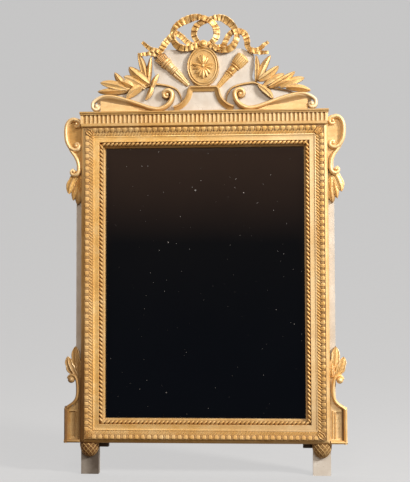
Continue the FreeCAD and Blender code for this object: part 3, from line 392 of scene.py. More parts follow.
def gilding(name, carved=False, moulding=False, hatched=False, panel=False, fluted=False, lattice=False,
            edge_rub_and_highlight=0.55, hollow=0.95, toned=0.0, wear_and_light=0.15, aged=0.0, ends=0.0, mottled=0.0, soft=0.0,
            sunk_shade=None, shaded=None):
    """Aged gold leaf over red-brown bole, toned dark in the hollows, with painted shade and painted highlight.

    The depth shade is (ground, upper lift, lower lift, darkening); shaded darkens (the left side, the foot); both
    are painted shade.
    """
    material, graph, coords = new_finish(name)
    x, y, z = graph.axes(coords)
    leaf = graph.use(LEAF_TONE, Vector=coords, Lap=0.35)
    height = leaf["Height"]
    colour = graph.ramp(leaf["Tone"], [(0.22, GOLD_DEEP), (0.48, GOLD), (0.78, GOLD_PALE)])
    bare = mask(graph, BARE_BOLE, coords)
    # Painted shadow low on the left side, cast by the frame moulding.
    painted_shadow = mask(graph, LOW_LEFT_SHADOW, coords, Amount=0.72 if carved else 0.5)
    toning_and_shade = mask(graph, OLD_GRIME, coords, Scale=11.0, Amount=0.28).most(toned, painted_shadow)
    if carved:
        # Toning deepened into painted shade in the hollows; edges rubbed pale and given a painted highlight.
        shade = graph.use(CARVING_SHADE, Vector=coords, Hollow=hollow, Rub=edge_rub_and_highlight)
        edge = shade["Edge"]
        bare = (bare * (edge + 0.35)).clamped()
        toning_and_shade = toning_and_shade.most(shade["Hollow"]) * (1.0 - edge).clamped()
        colour = graph.mix((edge * 0.7).clamped(), colour, RUBBED_AND_LIT)
    # Painted shade towards the left side and the foot.
    if shaded:
        toning_and_shade = toning_and_shade.most(mask(graph, SIDE_SHADE, coords, Left=shaded[0], Foot=shaded[1]))
    if lattice:
        # Painted highlight along the lattice ridges.
        ridge_highlight = lattice_lines(graph, x, y, z)
        toning_and_shade = toning_and_shade * (1.0 - ridge_highlight * 0.85)
        colour = graph.mix(ridge_highlight * 0.4, colour, GOLD_PALE)
    # Painted shade where the relief sinks towards its ground.
    if sunk_shade:
        ground, upper, lower, shade_darkening = sunk_shade
        toning_and_shade = toning_and_shade.most(mask(
            graph, DEPTH_SHADE, coords, Upper=(ground - upper) * MM, Lower=(ground - lower) * MM, Amount=shade_darkening))
    if mottled:
        toning_and_shade = toning_and_shade.most(mask(graph, MOTTLED_TONING, coords, Amount=mottled))
    if moulding:
        inset = graph.use(FRAME_INSET, Vector=coords)["Inset"]
        # Painted shade and painted highlight step by step across the moulding, partly toning in its hollows.
        shade_darkening, pale = tones_across(graph, inset / MOULDING_SPAN, MOULDING_TONES, MOULDING_SPAN)
        # Painted light high on the left outer round and painted shade low on it.
        outer = x.below(-(FRAME_HALF - OUTER_ROUND) * MM)
        high = outer * z.step(*ROUND_LIT_Z)
        low = outer * z.step(*ROUND_SHADED_Z, 0.0, 0.82)
        toning_and_shade = (toning_and_shade.most(shade_darkening) * (1.0 - high)).most(low)
        colour = graph.stain(colour, (pale * 0.55, GOLD_PALE), (high * 0.85, GOLD_PALE))
    if hatched:
        lines = graph.use(GROUND_LINES, Vector=coords)
        # Painted shade in the cut lines.
        toning_and_shade = toning_and_shade.most(lines["Mask"])
        height = height + lines["Height"] * 3.0
    if fluted:
        # Painted shade in the flutes and a painted highlight on the frieze's front face.
        depth = y.step(FLUTE_FACE * MM, (FLUTE_FACE + FLUTE_DEPTH) * MM, 0.0, 0.6)
        inner = abs(x).below((FRAME_HALF - FRIEZE_END) * MM) * y.below((FLUTE_FACE + FRIEZE_BACK) * MM)
        toning_and_shade = toning_and_shade.most(depth * inner)
        colour = graph.mix(y.step(FLUTE_FACE * MM, (FLUTE_FACE + 0.3) * MM, 0.3, 0.0), colour, RUBBED_AND_LIT)
    if panel:
        # Painted shadow by the frame moulding and inside the bracket's rim, with the moulding's shadow widened on
        # the left; painted highlight on the panel and the rim.
        across = abs(x) - FRAME_HALF * MM
        shade_darkening, pale = tones_across(graph, across / (PANEL_SPAN * MM), PANEL_TONES, PANEL_SPAN)
        left = x.below(0.0)
        corner = left * across.step(PANEL_SHADOW_REACH[0] * MM, PANEL_SHADOW_REACH[1] * MM, 0.0, 0.85)
        toning_and_shade = toning_and_shade.most(shade_darkening * left.step(0.0, 1.0, 1.0, 0.75), corner)
        colour = graph.mix(pale, colour, GOLD_PALE)
    # Patchy wear together with painted light, paler towards the right side.
    worn_and_lit = mask(graph, WEAR_AND_RIGHT_LIGHT, coords, Amount=wear_and_light)
    if ends:
        worn_and_lit = worn_and_lit.most(abs(x).step(*SCROLL_ENDS_X, 0.0, ends))
    specks = mask(graph, FINE_SPECKS, coords, Scale=150.0, Share=0.12)
    # Toning and painted shade darken the gold; wear and painted light pale it.
    colour = graph.stain(
        colour, (worn_and_lit.most(aged), RUBBED_AND_LIT), (bare, BOLE), (specks * 0.5, TONING_AND_SHADE), (toning_and_shade, TONING_AND_SHADE))
    return surfaced(material, graph, {
        "Base Color": colour, "Metallic": (0.48 - toning_and_shade * 0.36 - worn_and_lit * 0.5).clamped(),
        "Roughness": leaf["Tone"] * 0.18 + (0.36 + soft) + toning_and_shade * 0.25,
        "Normal": graph.bump(height, 0.35, 0.0006)})


def cream_paint():
    """Old cream paint, fine cracks across the grain, rubbed to the wood here and there."""
    material, graph, coords = new_finish("cream_paint_aged")
    x, y, z = graph.axes(coords)
    grain = graph.use(WOOD_GRAIN, Vector=coords, Fineness=0.8)
    wash = graph.noise(coords, 30.0, 5.0)
    colour = graph.ramp(wash, [
        (0.25, (0.53, 0.475, 0.405)), (0.55, (0.64, 0.60, 0.54)), (0.8, (0.71, 0.68, 0.63))])
    cracks = graph.lay("ShaderNodeTexVoronoi", {
        "Vector": graph.mapped(coords, (1.0, 1.0, 0.55)), "Scale": 75.0}, "Distance", feature="DISTANCE_TO_EDGE")
    crack = cracks.step(0.035, 0.0) * wash.step(0.42, 0.66, 0.0, 0.3)
    # Painted shadow on the front of the left foot, deeper towards its right edge.
    painted_shadow = z.step(-0.76, -0.80) * x.step(0.1, -0.2) * y.step(0.0, -0.012, 0.15, 1.0)
    painted_shadow = painted_shadow * wash.step(0.2, 0.7, 0.9, 0.7) * x.step(-0.315, -0.285, 0.85, 1.3)
    colour = graph.stain(
        colour, (grain["Grain"] * 0.14, (0.48, 0.38, 0.27)), (crack, (0.30, 0.22, 0.14)),
        (mask(graph, OLD_GRIME, coords, Scale=14.0, Amount=0.45) * 0.6, (0.42, 0.33, 0.235)),
        (mask(graph, FINE_SPECKS, coords, Scale=120.0, Share=0.1) * 0.6, (0.22, 0.15, 0.09)),
        (painted_shadow.clamped(), (0.085, 0.066, 0.05)))
    return surfaced(material, graph, {
        "Base Color": colour, "Roughness": wash * 0.2 + 0.55,
        "Normal": graph.bump(wash + grain["Height"] * 0.4 - crack, 0.3, 0.0008)})


def wood(name, pale, deep, grime_amount, turn=(0, 0, 0), shift=(0, 0, 0)):
    """Planed old wood."""
    material, graph, coords = new_finish(name)
    grain = graph.use(WOOD_GRAIN, Vector=graph.mapped(coords, turn=turn, place=shift), Fineness=1.0)
    colour = graph.stain(
        graph.ramp(grain["Grain"], [(0.15, deep), (0.85, pale)]),
        (mask(graph, OLD_GRIME, coords, Scale=12.0, Amount=grime_amount), [0.4 * c for c in deep]),
        (mask(graph, FINE_SPECKS, coords, Scale=70.0, Share=0.06) * 0.8, (0.03, 0.02, 0.012)))
    return surfaced(material, graph, {
        "Base Color": colour, "Roughness": grain["Grain"] * 0.2 + 0.6,
        "Normal": graph.bump(grain["Height"], 0.4, 0.0006)})


def old_mirror():
    """Darkened silvering with grey specks, cloudy towards the edges."""
    material, graph, coords = new_finish("mirror_glass_old")
    small = mask(graph, FINE_SPECKS, coords, Scale=62.0, Reach=0.11, Share=0.95)
    apart = graph.mapped(coords, place=(0.4, 0.1, 0.7))
    large = mask(graph, FINE_SPECKS, apart, Scale=24.0, Reach=0.045, Share=0.4)
    patch = graph.noise(coords, 5.0, 3.0)
    specks = small.most(large) * patch.step(0.36, 0.6, 0.35, 1.0)
    inset = graph.use(FRAME_INSET, Vector=coords)["Inset"]
    cloud = inset.step(85.0, 55.0) * graph.noise(coords, 40.0, 6.0, 0.7)
    haze = graph.noise(coords, 9.0, 6.0, 0.65) * 0.06
    colour = graph.stain(
        graph.mix(patch, (0.30, 0.30, 0.31), (0.40, 0.385, 0.37)), (cloud * 0.6, (0.13, 0.115, 0.10)),
        (specks, (0.42, 0.42, 0.43)))
    return surfaced(material, graph, {
        "Base Color": colour, "Metallic": 1.0, "Roughness": specks * 0.6 + haze + cloud * 0.2,
        "Normal": graph.bump(graph.noise(coords, 4.0, 1.0, 0.5), 0.02, 0.001)})


def old_metal(name, pale, deep, tarnish, metallic):
    """Hand-worked metal with tarnish and fine scratches."""
    material, graph, coords = new_finish(name)
    cloud = graph.noise(coords, 120.0, 5.0, 0.65)
    scratch = graph.noise(graph.mapped(coords, (60.0, 60.0, 1500.0), turn=(0, 0.6, 0)), 1.0, 2.0)
    grime = mask(graph, OLD_GRIME, coords, Scale=90.0, Amount=0.8)
    shade = graph.use(CARVING_SHADE, Vector=coords, Hollow=0.6, Rub=1.0)
    colour = graph.stain(
        graph.ramp(cloud, [(0.3, deep), (0.7, pale)]), (grime.most(shade["Hollow"]), tarnish),
        (shade["Edge"] * 0.5, pale))
    return surfaced(material, graph, {
        "Base Color": colour, "Metallic": metallic, "Roughness": cloud * 0.3 + 0.34 + grime * 0.2,
        "Normal": graph.bump(cloud + scratch * 0.5, 0.3, 0.0004)})


GILT = {name: gilding("gilding_" + name, **look) for name, look in {
    "cove": dict(wear_and_light=0.44, shaded=(0.0, 0.3)),
    "carved": dict(carved=True),
    "rows": dict(carved=True, edge_rub_and_highlight=0.25, wear_and_light=0.0, soft=0.14, shaded=(0.34, 0.32)),
    "medallion": dict(carved=True, hollow=0.85, edge_rub_and_highlight=0.9, toned=0.12, sunk_shade=(PEDIMENT_FACE, 13.2, 10.6, 0.4)),
    "plinth": dict(carved=True, hollow=0.4, edge_rub_and_highlight=0.4, toned=0.5),
    "scroll": dict(carved=True, edge_rub_and_highlight=1.3, aged=0.2, ends=0.75, sunk_shade=(PEDIMENT_FACE, 13.4, 10.0, 0.66)),
    "rubbed": dict(carved=True, edge_rub_and_highlight=1.3, aged=0.3),
    "leaves": dict(carved=True, hollow=1.0, edge_rub_and_highlight=1.6, sunk_shade=(CARCASS_FACE, 13.0, 6.0, 0.7)),
    "ribbon": dict(carved=True, edge_rub_and_highlight=1.2, mottled=0.8, sunk_shade=(PEDIMENT_FACE, 11.5, 4.0, 0.7)),
    "laurel": dict(carved=True, hollow=0.9, edge_rub_and_highlight=1.8, mottled=0.4, aged=0.12, sunk_shade=(PEDIMENT_FACE, 9.5, 3.5, 0.9)),
    "fluted": dict(fluted=True),
    # Dark toning, with painted shade towards the left side and a painted highlight on the lattice ridges.
    "cone": dict(toned=0.8, wear_and_light=0.0, lattice=True, shaded=(0.96, 0.0)),
    "toned": dict(carved=True, toned=0.4, wear_and_light=0.0),
    "cap": dict(toned=0.42),
    "moulding": dict(moulding=True, wear_and_light=0.2, shaded=(0.4, 0.0)),
    "hatched_ground": dict(hatched=True, wear_and_light=0.0, aged=0.3),
    "hatched_panel": dict(hatched=True, panel=True, wear_and_light=0.35),
    "console_ground": dict(hatched=True, wear_and_light=0.3, shaded=(0.42, 0.0)),
}.items()}
LEVEL = (0, math.pi / 2, 0)
CREAM = cream_paint()
BARE_WOOD = wood("bare_wood_upright", (0.46, 0.30, 0.165), (0.24, 0.135, 0.065), 0.5)
BARE_RAIL = wood("bare_wood_level", (0.46, 0.30, 0.165), (0.24, 0.135, 0.065), 0.5, LEVEL)
# Near-black old wood for the corner blocks, darkened to stand in for the shade under the frame.
DARK_WOOD_AND_SHADE = wood("dark_wood_and_shade", (0.075, 0.045, 0.026), (0.028, 0.016, 0.010), 0.4, LEVEL)
BOARD_WOODS = {name: wood("bare_board_" + name, *look) for name, look in {
    "left": ((0.44, 0.285, 0.155), (0.23, 0.13, 0.062), 0.5, (0, 0, 0), (0.31, 0.0, 0.7)),
    "middle": ((0.50, 0.33, 0.185), (0.27, 0.155, 0.075), 0.4, (0, 0, 0), (1.7, 0.4, 0.2)),
    "right": ((0.42, 0.27, 0.145), (0.215, 0.12, 0.058), 0.6, (0, 0, 0), (2.9, 0.8, 1.3)),
}.items()}
MIRROR = old_mirror()
IRON = old_metal("iron_forged", (0.22, 0.205, 0.19), (0.075, 0.065, 0.058), (0.10, 0.045, 0.022), 0.8)
BRASS = old_metal("brass_dull", (0.62, 0.44, 0.17), (0.36, 0.23, 0.075), (0.11, 0.075, 0.035), 0.9)


# Meshes.
SHARP_EDGE = math.radians(48)
WELD = 2e-6
SLIVER = 1e-6


def shown(name, data):
    """Object in the scene."""
    holder = bpy.data.objects.new(name, data)
    bpy.context.scene.collection.objects.link(holder)
    return holder


def new_mesh(name, points, faces=()):
    mesh = bpy.data.meshes.new(name)
    mesh.from_pydata(points, [], faces)
    return mesh


def band(first, second):
    """Faces between two closed rings of point numbers."""
    count = len(first)
    return [(first[n], first[(n + 1) % count], second[(n + 1) % count], second[n]) for n in range(count)]


def joined(*meshes):
    """Several meshes as one."""
    work = bmesh.new()
    for mesh in meshes:
        work.from_mesh(mesh)
        bpy.data.meshes.remove(mesh)
    whole = bpy.data.meshes.new("joined")
    work.to_mesh(whole)
    work.free()
    return whole


def settle(name, mesh, finish, replaced=None):
    """Cleans a finished mesh, makes it a piece and ties it to the part."""
    work = bmesh.new()
    work.from_mesh(mesh)
    bmesh.ops.remove_doubles(work, verts=work.verts, dist=WELD)
    bmesh.ops.dissolve_degenerate(work, edges=work.edges, dist=SLIVER)
    bmesh.ops.recalc_face_normals(work, faces=work.faces)
    for face in work.faces:
        face.smooth = True
        face.material_index = 0
    for edge in work.edges:
        if len(edge.link_faces) == 2 and edge.calc_face_angle() > SHARP_EDGE:
            edge.smooth = False
    clean = bpy.data.meshes.new(name)
    work.to_mesh(clean)
    work.free()
    bpy.data.meshes.remove(mesh)
    clean.materials.append(finish)
    piece = shown(name, clean)
    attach(piece, "frame")
    if replaced:
        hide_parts(replaced)


def settle_carved(node, finish, *meshes):
    """Carving that takes the place of a node of the part."""
    settle(f"{node}_carved", joined(*meshes) if len(meshes) > 1 else meshes[0], GILT[finish], node)


class Carving:
    """Closed shells of one carved piece. Points are (x, z, lift) in millimetres."""

    def __init__(self, ground, sign=1, x=0.0, z=0.0):
        self.ground = ground
        self.sign = sign
        self.x = x
        self.z = z
        self.points = []
        self.faces = []

    def point(self, x, z, lift):
        self.points.append((
            self.sign * (self.x + x) * MM, (self.ground - lift) * MM, (self.z + z) * MM))
        return len(self.points) - 1

    def shell(self, rows, back=0.0):
        """Relief from rows of points, flat behind."""
        grid = [[self.point(*place) for place in row] for row in rows]
        for upper, lower in zip(grid, grid[1:]):
            for number in range(len(upper) - 1):
                self.faces.append((upper[number], upper[number + 1], lower[number + 1], lower[number]))
        last_row, last_column = len(rows) - 1, len(rows[0]) - 1
        rim = [(r, 0) for r in range(last_row)]
        rim += [(last_row, c) for c in range(last_column)]
        rim += [(r, last_column) for r in range(last_row, 0, -1)]
        rim += [(0, c) for c in range(last_column, 0, -1)]
        behind = [self.point(*rows[r][c][:2], back) for r, c in rim]
        front = [grid[r][c] for r, c in rim]
        for number in range(len(rim)):
            after = (number + 1) % len(rim)
            self.faces.append((front[number], behind[number], behind[after], front[after]))
        self.faces.append(tuple(reversed(behind)))

    def round(self, centre, radii, profile, around):
        """Round or oval relief: profile of (share of the radius, lift) from the rim inwards."""
        def ring(share, lift):
            angles = [2 * math.pi * number / around for number in range(around)]
            return [self.point(centre[0] + radii[0] * share * math.cos(angle),
                               centre[1] + radii[1] * share * math.sin(angle), lift) for angle in angles]

        rings = [ring(share, lift) for share, lift in profile]
        middle = self.point(*centre, profile[-1][1])
        behind = ring(profile[0][0], 0.0)
        for outer, inner in zip([behind] + rings, rings):
            self.faces += band(outer, inner)
        for number in range(around):
            self.faces.append((rings[-1][number], rings[-1][(number + 1) % around], middle))
        self.faces.append(tuple(reversed(behind)))

    def mesh(self):
        return new_mesh("carving", self.points, self.faces)


def smooth_line(points, steps):
    """Points along a smooth line through the given ones."""
    ends = [points[0]] + list(points) + [points[-1]]
    line = []
    for a, b, c, d in zip(ends, ends[1:], ends[2:], ends[3:]):
        for step in range(steps):
            t = step / steps
            line.append(tuple(
                0.5 * (2 * q + (r - p) * t + (2 * p - 5 * q + 4 * r - s) * t * t
                       + (3 * q - p - 3 * r + s) * t ** 3)
                for p, q, r, s in zip(a, b, c, d)))
    line.append(tuple(points[-1]))
    return line


def carve_leaf(carving, base, tip, width, relief, bend=0.0, lobes=0, curl=0.0, root=0.4, low=0.0,
               roll=0.0, rows=20, columns=21, blunt=0.0, fold=1.0, ridge=0.0):
    """Hollowed leaf with a raised rim and midrib, side veins and, if lobed, a scalloped edge.

    fold turns from a domed leaf at 0 to a hollowed one at 1; ridge makes two planes that meet at the midrib.
    """
    start = Vector(base)
    along = Vector(tip) - start
    length = along.length
    along.normalize()
    across = Vector((-along.y, along.x))
    grid = []
    for row in range(rows + 1):
        u = row / rows
        centre = start + along * (length * u) + across * (bend * 4 * u * (1 - u))
        ahead = (along * length + across * (bend * 4 * (1 - 2 * u))).normalized()
        side = Vector((-ahead.y, ahead.x))
        belly = math.sin(math.pi * u ** (0.76 + 0.4 * blunt)) if 0 < u < 1 else 0.0
        outline = max(belly ** (0.62 - 0.22 * blunt), root * (1 - u))
        if lobes:
            outline *= 0.80 + 0.20 * abs(math.sin(math.pi * lobes * u + 0.4))
        swell = 0.40 + 0.60 * math.sin(math.pi * min(1.0, 0.12 + 0.80 * u))
        line = []
        for column in range(columns):
            v = 2 * column / (columns - 1) - 1
            rim = fold * 0.34 * math.exp(-((abs(v) - 0.86) / 0.16) ** 2) + (1 - fold) * 0.36 * (1 - v * v)
            rib = 0.34 * math.exp(-(v / 0.12) ** 2) * (1 - 0.5 * u)
            vein = 0.05 * math.cos(2 * math.pi * (6.5 * u - 1.1 * abs(v))) * min(1.0, abs(v) * 3)
            body = (1 - 0.7 * ridge) * (rim + rib) + 0.62 * ridge * (1 - abs(v)) - 0.16 * ridge
            lift = relief * (swell * (0.64 + body + roll * v) + (1 - 0.5 * ridge) * vein) + curl * u ** 3
            place = centre + side * (v * width / 2 * outline)
            line.append((place.x, place.y, low + max(lift, 0.12 * relief)))
        grid.append(line)
    carving.shell(grid, low)


def leaning(lean):
    """Directions along and across an axis that leans by an angle in degrees."""
    ahead = Vector((math.cos(math.radians(lean)), math.sin(math.radians(lean))))
    return ahead, Vector((-ahead.y, ahead.x))


def carve_turned(carving, foot, lean, profile, cuts, columns, rounded=0.0):
    """Half-round carving along a leaning axis: profile of (place along the axis, radius)."""
    ahead, across = leaning(lean)
    end = profile[-1][0]
    grid = []
    for place, radius in profile:
        if rounded and place > end - rounded:
            radius *= max(0.15, math.sqrt(1 - ((place - end + rounded) / rounded) ** 2))
        line = []
        for column in range(columns):
            angle = math.pi * (column / (columns - 1) - 0.5)
            reach = radius * (1 + sum(cut(place, angle) for cut in cuts))
            spot = Vector(foot) + ahead * place + across * (reach * math.sin(angle))
            line.append((spot.x, spot.y, reach * math.cos(angle)))
        grid.append(line)
    carving.shell(grid)


def button(carving, centre, radius, lift):
    """Small domed button."""
    dome = [(math.cos(a), lift * (0.35 + 0.65 * math.sin(a)))
            for a in (math.radians(d) for d in (0, 18, 36, 54, 70, 82))]
    carving.round(centre, (radius, radius), dome, around=28)


def volute(centre, start, turn, outer, inner):
    """Points of a spiral that winds in round a centre, through a turn in degrees."""
    steps = max(3, round(abs(turn) / 40))
    points = []
    for step in range(steps + 1):
        share = step / steps
        angle = math.radians(start + turn * share)
        reach = outer + (inner - outer) * share
        points.append((centre[0] + reach * math.cos(angle), centre[1] + reach * math.sin(angle)))
    return points


def taper(points, first, last, start=0.55, end=0.55):
    """Widths that narrow over the first and last few points."""
    count = len(points)
    return [min(1.0, start + (1 - start) * number / first, end + (1 - end) * (count - 1 - number) / last)
            for number in range(count)]


# Geometry Nodes: strips that follow a drawn path, rows of a repeated unit, and heads set on points.
def realized(graph, geometry, given):
    """Realizes what a tree has made and gives it its material."""
    made = graph.lay("GeometryNodeRealizeInstances", {"Geometry": geometry})
    return {"Geometry": graph.lay("GeometryNodeSetMaterial", {"Geometry": made, "Material": given["Material"]})}


def stood_up(graph, geometry, given):
    """Turns a flat drawing upright at its ground."""
    ground = graph.joined_axes(Y=given["Ground"])
    upright = graph.lay("GeometryNodeTransform", {
        "Geometry": geometry, "Translation": ground, "Rotation": (math.pi / 2, 0, 0)})
    return realized(graph, upright, given)


def object_shape(graph, holder):
    return graph.lay("GeometryNodeObjectInfo", {"Object": holder}, "Geometry")


def chance(graph, least, most, seed):
    return graph.lay("FunctionNodeRandomValue", {2: least, 3: most, "Seed": seed}, 1, data_type="FLOAT")


def carved_strip(graph, given):
    """Strip swept along a smooth path from a unit section, with ribs across it."""
    path = graph.lay("GeometryNodeCurveSplineType", {"Curve": given["Geometry"]}, spline_type="CATMULL_ROM")
    path = graph.lay("GeometryNodeSetSplineResolution", {"Geometry": path, "Resolution": 16})
    path = graph.lay("GeometryNodeResampleCurve", {"Curve": path, "Length": given["Step"]}, mode="LENGTH")
    path = graph.lay("GeometryNodeSetCurveNormal", {"Curve": path}, mode="Z_UP")
    held = graph.add("GeometryNodeCaptureAttribute", {"Geometry": path})
    held.capture_items.new("FLOAT", "along")
    graph.feed(held.inputs["along"], graph.lay("GeometryNodeSplineParameter", output="Length"))
    held = graph.wires(held.outputs)
    section = graph.lay("GeometryNodeTransform", {
        "Geometry": object_shape(graph, given["Section"]),
        "Scale": graph.joined_axes(X=given["Width"], Y=given["Relief"] * -1.0, Z=1.0)})
    swept = graph.lay("GeometryNodeCurveToMesh", {
        "Curve": held["Geometry"], "Profile Curve": section, "Scale": graph.lay("GeometryNodeInputRadius"),
        "Fill Caps": True})
    turns = held["along"] / given["Rib Pitch"]
    drift = graph.lay("ShaderNodeTexNoise", {"W": turns, "Scale": 0.45, "Detail": 1.0}, noise_dimensions="1D")
    turns = turns + drift * 1.6
    wave = abs(graph.maths("SINE", turns * math.pi))
    ribs = (wave * 0.35 + graph.maths("FRACT", turns) * 0.8) * drift.step(0.3, 0.7, 0.45, 1.35)
    ribbed = graph.lay("GeometryNodeSetPosition", {
        "Geometry": swept, "Offset": graph.joined_axes(Z=ribs * given["Rib Depth"])})
    return stood_up(graph, ribbed, given)


def carved_row(graph, given):
    """Carved unit repeated along straight lengths, its first axis along them, each cut a little apart."""
    path = graph.lay("GeometryNodeResampleCurve", {
        "Curve": given["Geometry"], "Length": given["Pitch"]}, mode="LENGTH")
    turn = graph.lay("FunctionNodeAlignRotationToVector", {
        "Vector": graph.lay("GeometryNodeInputTangent")}, axis="X", pivot_axis="Z")
    length = chance(graph, 1.0 - given["Unevenness"], given["Unevenness"] + 1.0, given["Seed"])
    row = graph.lay("GeometryNodeInstanceOnPoints", {
        "Points": path, "Instance": object_shape(graph, given["Unit"]), "Rotation": turn,
        "Scale": graph.joined_axes(X=length, Y=1.0, Z=1.0)})
    return stood_up(graph, row, given)


def set_heads(graph, given):
    """Head repeated on points, each turned by chance about its own axis."""
    turn = chance(graph, given["Turn"] * -1.0, given["Turn"], given["Seed"])
    turned = graph.lay("FunctionNodeEulerToRotation", {0: graph.joined_axes(Y=turn, Z=math.pi)})
    heads = graph.lay("GeometryNodeInstanceOnPoints", {
        "Points": given["Geometry"], "Instance": object_shape(graph, given["Unit"]), "Rotation": turned})
    return realized(graph, heads, given)


def geometry_tree(body, **inputs):
    kinds = {"Geometry": "Geometry", **inputs, "Material": "Material"}
    return new_group("GeometryNodeTree", body, {
        label.replace("_", " "): (kind, None) for label, kind in kinds.items()})


STRIP_TREE = geometry_tree(
    carved_strip, Section="Object", Width="Float", Relief="Float", Step="Float", Rib_Pitch="Float",
    Rib_Depth="Float", Ground="Float")
ROW_TREE = geometry_tree(
    carved_row, Unit="Object", Pitch="Float", Unevenness="Float", Seed="Int", Ground="Float")
HEADS_TREE = geometry_tree(set_heads, Unit="Object", Turn="Float", Seed="Int")


def tree_input(tree, name):
    """Identifier of a named input of a tree."""
    return next(s.identifier for s in tree.interface.items_tree
                if s.item_type == "SOCKET" and s.in_out == "INPUT" and s.name == name)


def grown(tree, source, finish, inputs):
    """Runs a tree on an object and hands back the result as a plain mesh."""
    modifier = source.modifiers.new("grow", "NODES")
    modifier.node_group = tree
    for name, value in {**inputs, "Material": finish}.items():
        modifier[tree_input(tree, name)] = value
    bpy.context.view_layer.update()
    graph = bpy.context.evaluated_depsgraph_get()
    mesh = bpy.data.meshes.new_from_object(source.evaluated_get(graph), depsgraph=graph)
    source.modifiers.remove(modifier)
    bpy.data.objects.remove(source)
    return mesh


def drawn_path(lines, lifts=None, widths=None, tilts=None, cyclic=False):
    """Curve object of (x, z) lines, drawn flat; lifts, widths and tilts go with the points."""
    curve = bpy.data.curves.new("drawn_path", "CURVE")
    curve.dimensions = "3D"
    for number, points in enumerate(lines):
        spline = curve.splines.new("POLY")
        spline.points.add(len(points) - 1)
        for place, (x, z) in enumerate(points):
            lift = lifts[number][place] if lifts else 0.0
            spline.points[place].co = (x * MM, z * MM, lift * MM, 1.0)
            spline.points[place].radius = widths[number][place] if widths else 1.0
            spline.points[place].tilt = math.radians(tilts[number][place]) if tilts else 0.0
        spline.use_cyclic_u = cyclic
    return shown("drawn_path", curve)


def unit_section(points):
    """Closed unit section: x across from -0.5 to 0.5, y from the ground at 0 to the top at 1."""
    return drawn_path([[(x / MM, y / MM) for x, y in points]], cyclic=True)


def half_section(points):
    """Section from its right half, mirrored."""
    return unit_section(list(points) + [(-x, y) for x, y in reversed(points) if x > 0])


ROUND_STRIP = half_section([
    (0.0, 1.0), (0.16, 0.97), (0.30, 0.88), (0.41, 0.74), (0.48, 0.55), (0.5, 0.35), (0.5, 0.0)])
RIBBON = half_section([
    (0.0, 0.84), (0.18, 0.86), (0.33, 0.93), (0.42, 1.0), (0.47, 1.0), (0.5, 0.94), (0.5, 0.70),
    (0.46, 0.38), (0.36, 0.12), (0.2, 0.0)])
SLOPE = unit_section([
    (-0.5, 0.0), (-0.5, 0.48), (-0.34, 0.51), (-0.14, 0.58), (0.06, 0.68), (0.26, 0.82), (0.42, 0.95),
    (0.5, 0.96), (0.5, 0.0)])
CAVETTO = unit_section([
    (-0.5, 0.0), (-0.5, 0.30), (-0.40, 0.36), (-0.22, 0.42), (-0.04, 0.53), (0.10, 0.70), (0.18, 0.88),
    (0.20, 1.0), (0.36, 1.0), (0.44, 0.94), (0.5, 0.82), (0.5, 0.0)])


def strip(lines, section, width, relief, ground, x=0.0, z=0.0, sign=1, lifts=None, widths=None,
          tilts=None, step=2.0, rib=(7.0, 0.0)):
    """Mesh of one or more strips, drawn on the ground plane."""
    moved = [[(sign * (x + a), z + b) for a, b in line] for line in lines]
    return grown(STRIP_TREE, drawn_path(moved, lifts, widths, tilts), GILT["carved"], {
        "Section": section, "Width": width * MM, "Relief": relief * MM, "Step": step * MM,
        "Ground": ground * MM, "Rib Pitch": rib[0] * MM, "Rib Depth": rib[1] * MM})


# Frame moulding: a row of leaves and darts, a hatched band, a cove and a rope twist, on the plain mitred
# lengths. Units of a row have x along the frame and z inwards from the row's middle.
LEAF_INSET = 22.0
LEAF_PITCH = 15.6
LEAF_CURVE = 24.0
LEAF_CENTRE = (11.2, 10.02)
LEAF_BAND_END = 32.0
# (inset, half width, lift at the middle, groove)
LEAF = [
    (12.3, 3.0, 0.3, 0.0), (13.0, 4.6, 1.2, 0.0), (15.0, 5.4, 1.7, 0.2), (17.5, 5.4, 1.8, 0.7),
    (20.0, 4.9, 1.9, 0.9), (22.8, 3.4, 1.8, 0.9)]
DART = [
    (13.6, 0.3, 0.3, 0.0), (15.0, 0.7, 1.0, 0.0), (17.5, 0.9, 1.4, 0.0), (20.0, 0.9, 1.5, 0.0),
    (22.4, 0.6, 1.5, 0.0)]
CORNER_LEAF = (12.5, 31.5)
HATCH_INSET = 27.0
HATCH_PITCH = 7.8
HATCH_HEIGHT = 29.6
HATCH_HALF = 2.3
HATCH_SLANT = 0.8
HATCH_FALL = 0.24
ROPE_INSET = 52.75
ROPE_PITCH = 10.7
ROPE_FOOT = 17.6
ROPE_HALF = 4.1
ROPE_SLANT = 0.85
ROPE_RADII = (4.75, 5.0)
# Closed profiles round the frame: (inset, height above the carcass).
COVE_LINING = [
    (31.7, 14.0), (31.7, 27.6), (32.1, 28.0), (34.5, 28.0), (34.9, 27.6), (35.1, 26.6), (36.2, 26.0),
    (38.5, 25.5), (41.0, 25.2), (43.5, 25.0), (46.0, 25.0), (47.5, 25.0), (48.0, 24.6), (48.2, 14.0)]
HATCH_BAND = [
    (22.0, 22.0), (22.0, 29.6), (22.6, 30.2), (25.0, 30.0), (28.0, 29.2), (31.0, 28.4), (31.6, 28.0),
    (31.6, 20.0)]
# Plain fillet that closes the gap under the frieze: (height up the frame, depth).
FRIEZE_FILLET = [
    (30.2, -40.0), (30.2, -57.4), (29.6, -58.3), (28.6, -58.8), (23.4, -59.2), (22.4, -59.0), (21.8, -58.2),
    (21.8, -40.0)]
FILLET_HALF = FRAME_HALF - 2.0


def frame_corners(inset):
    """Corners of the frame at an inset, anticlockwise from the lower left."""
    half, top, foot = FRAME_HALF - inset, FRAME_TOP - inset, FRAME_BOTTOM + inset
    return [(-half, foot), (half, foot), (half, top), (-half, top)]


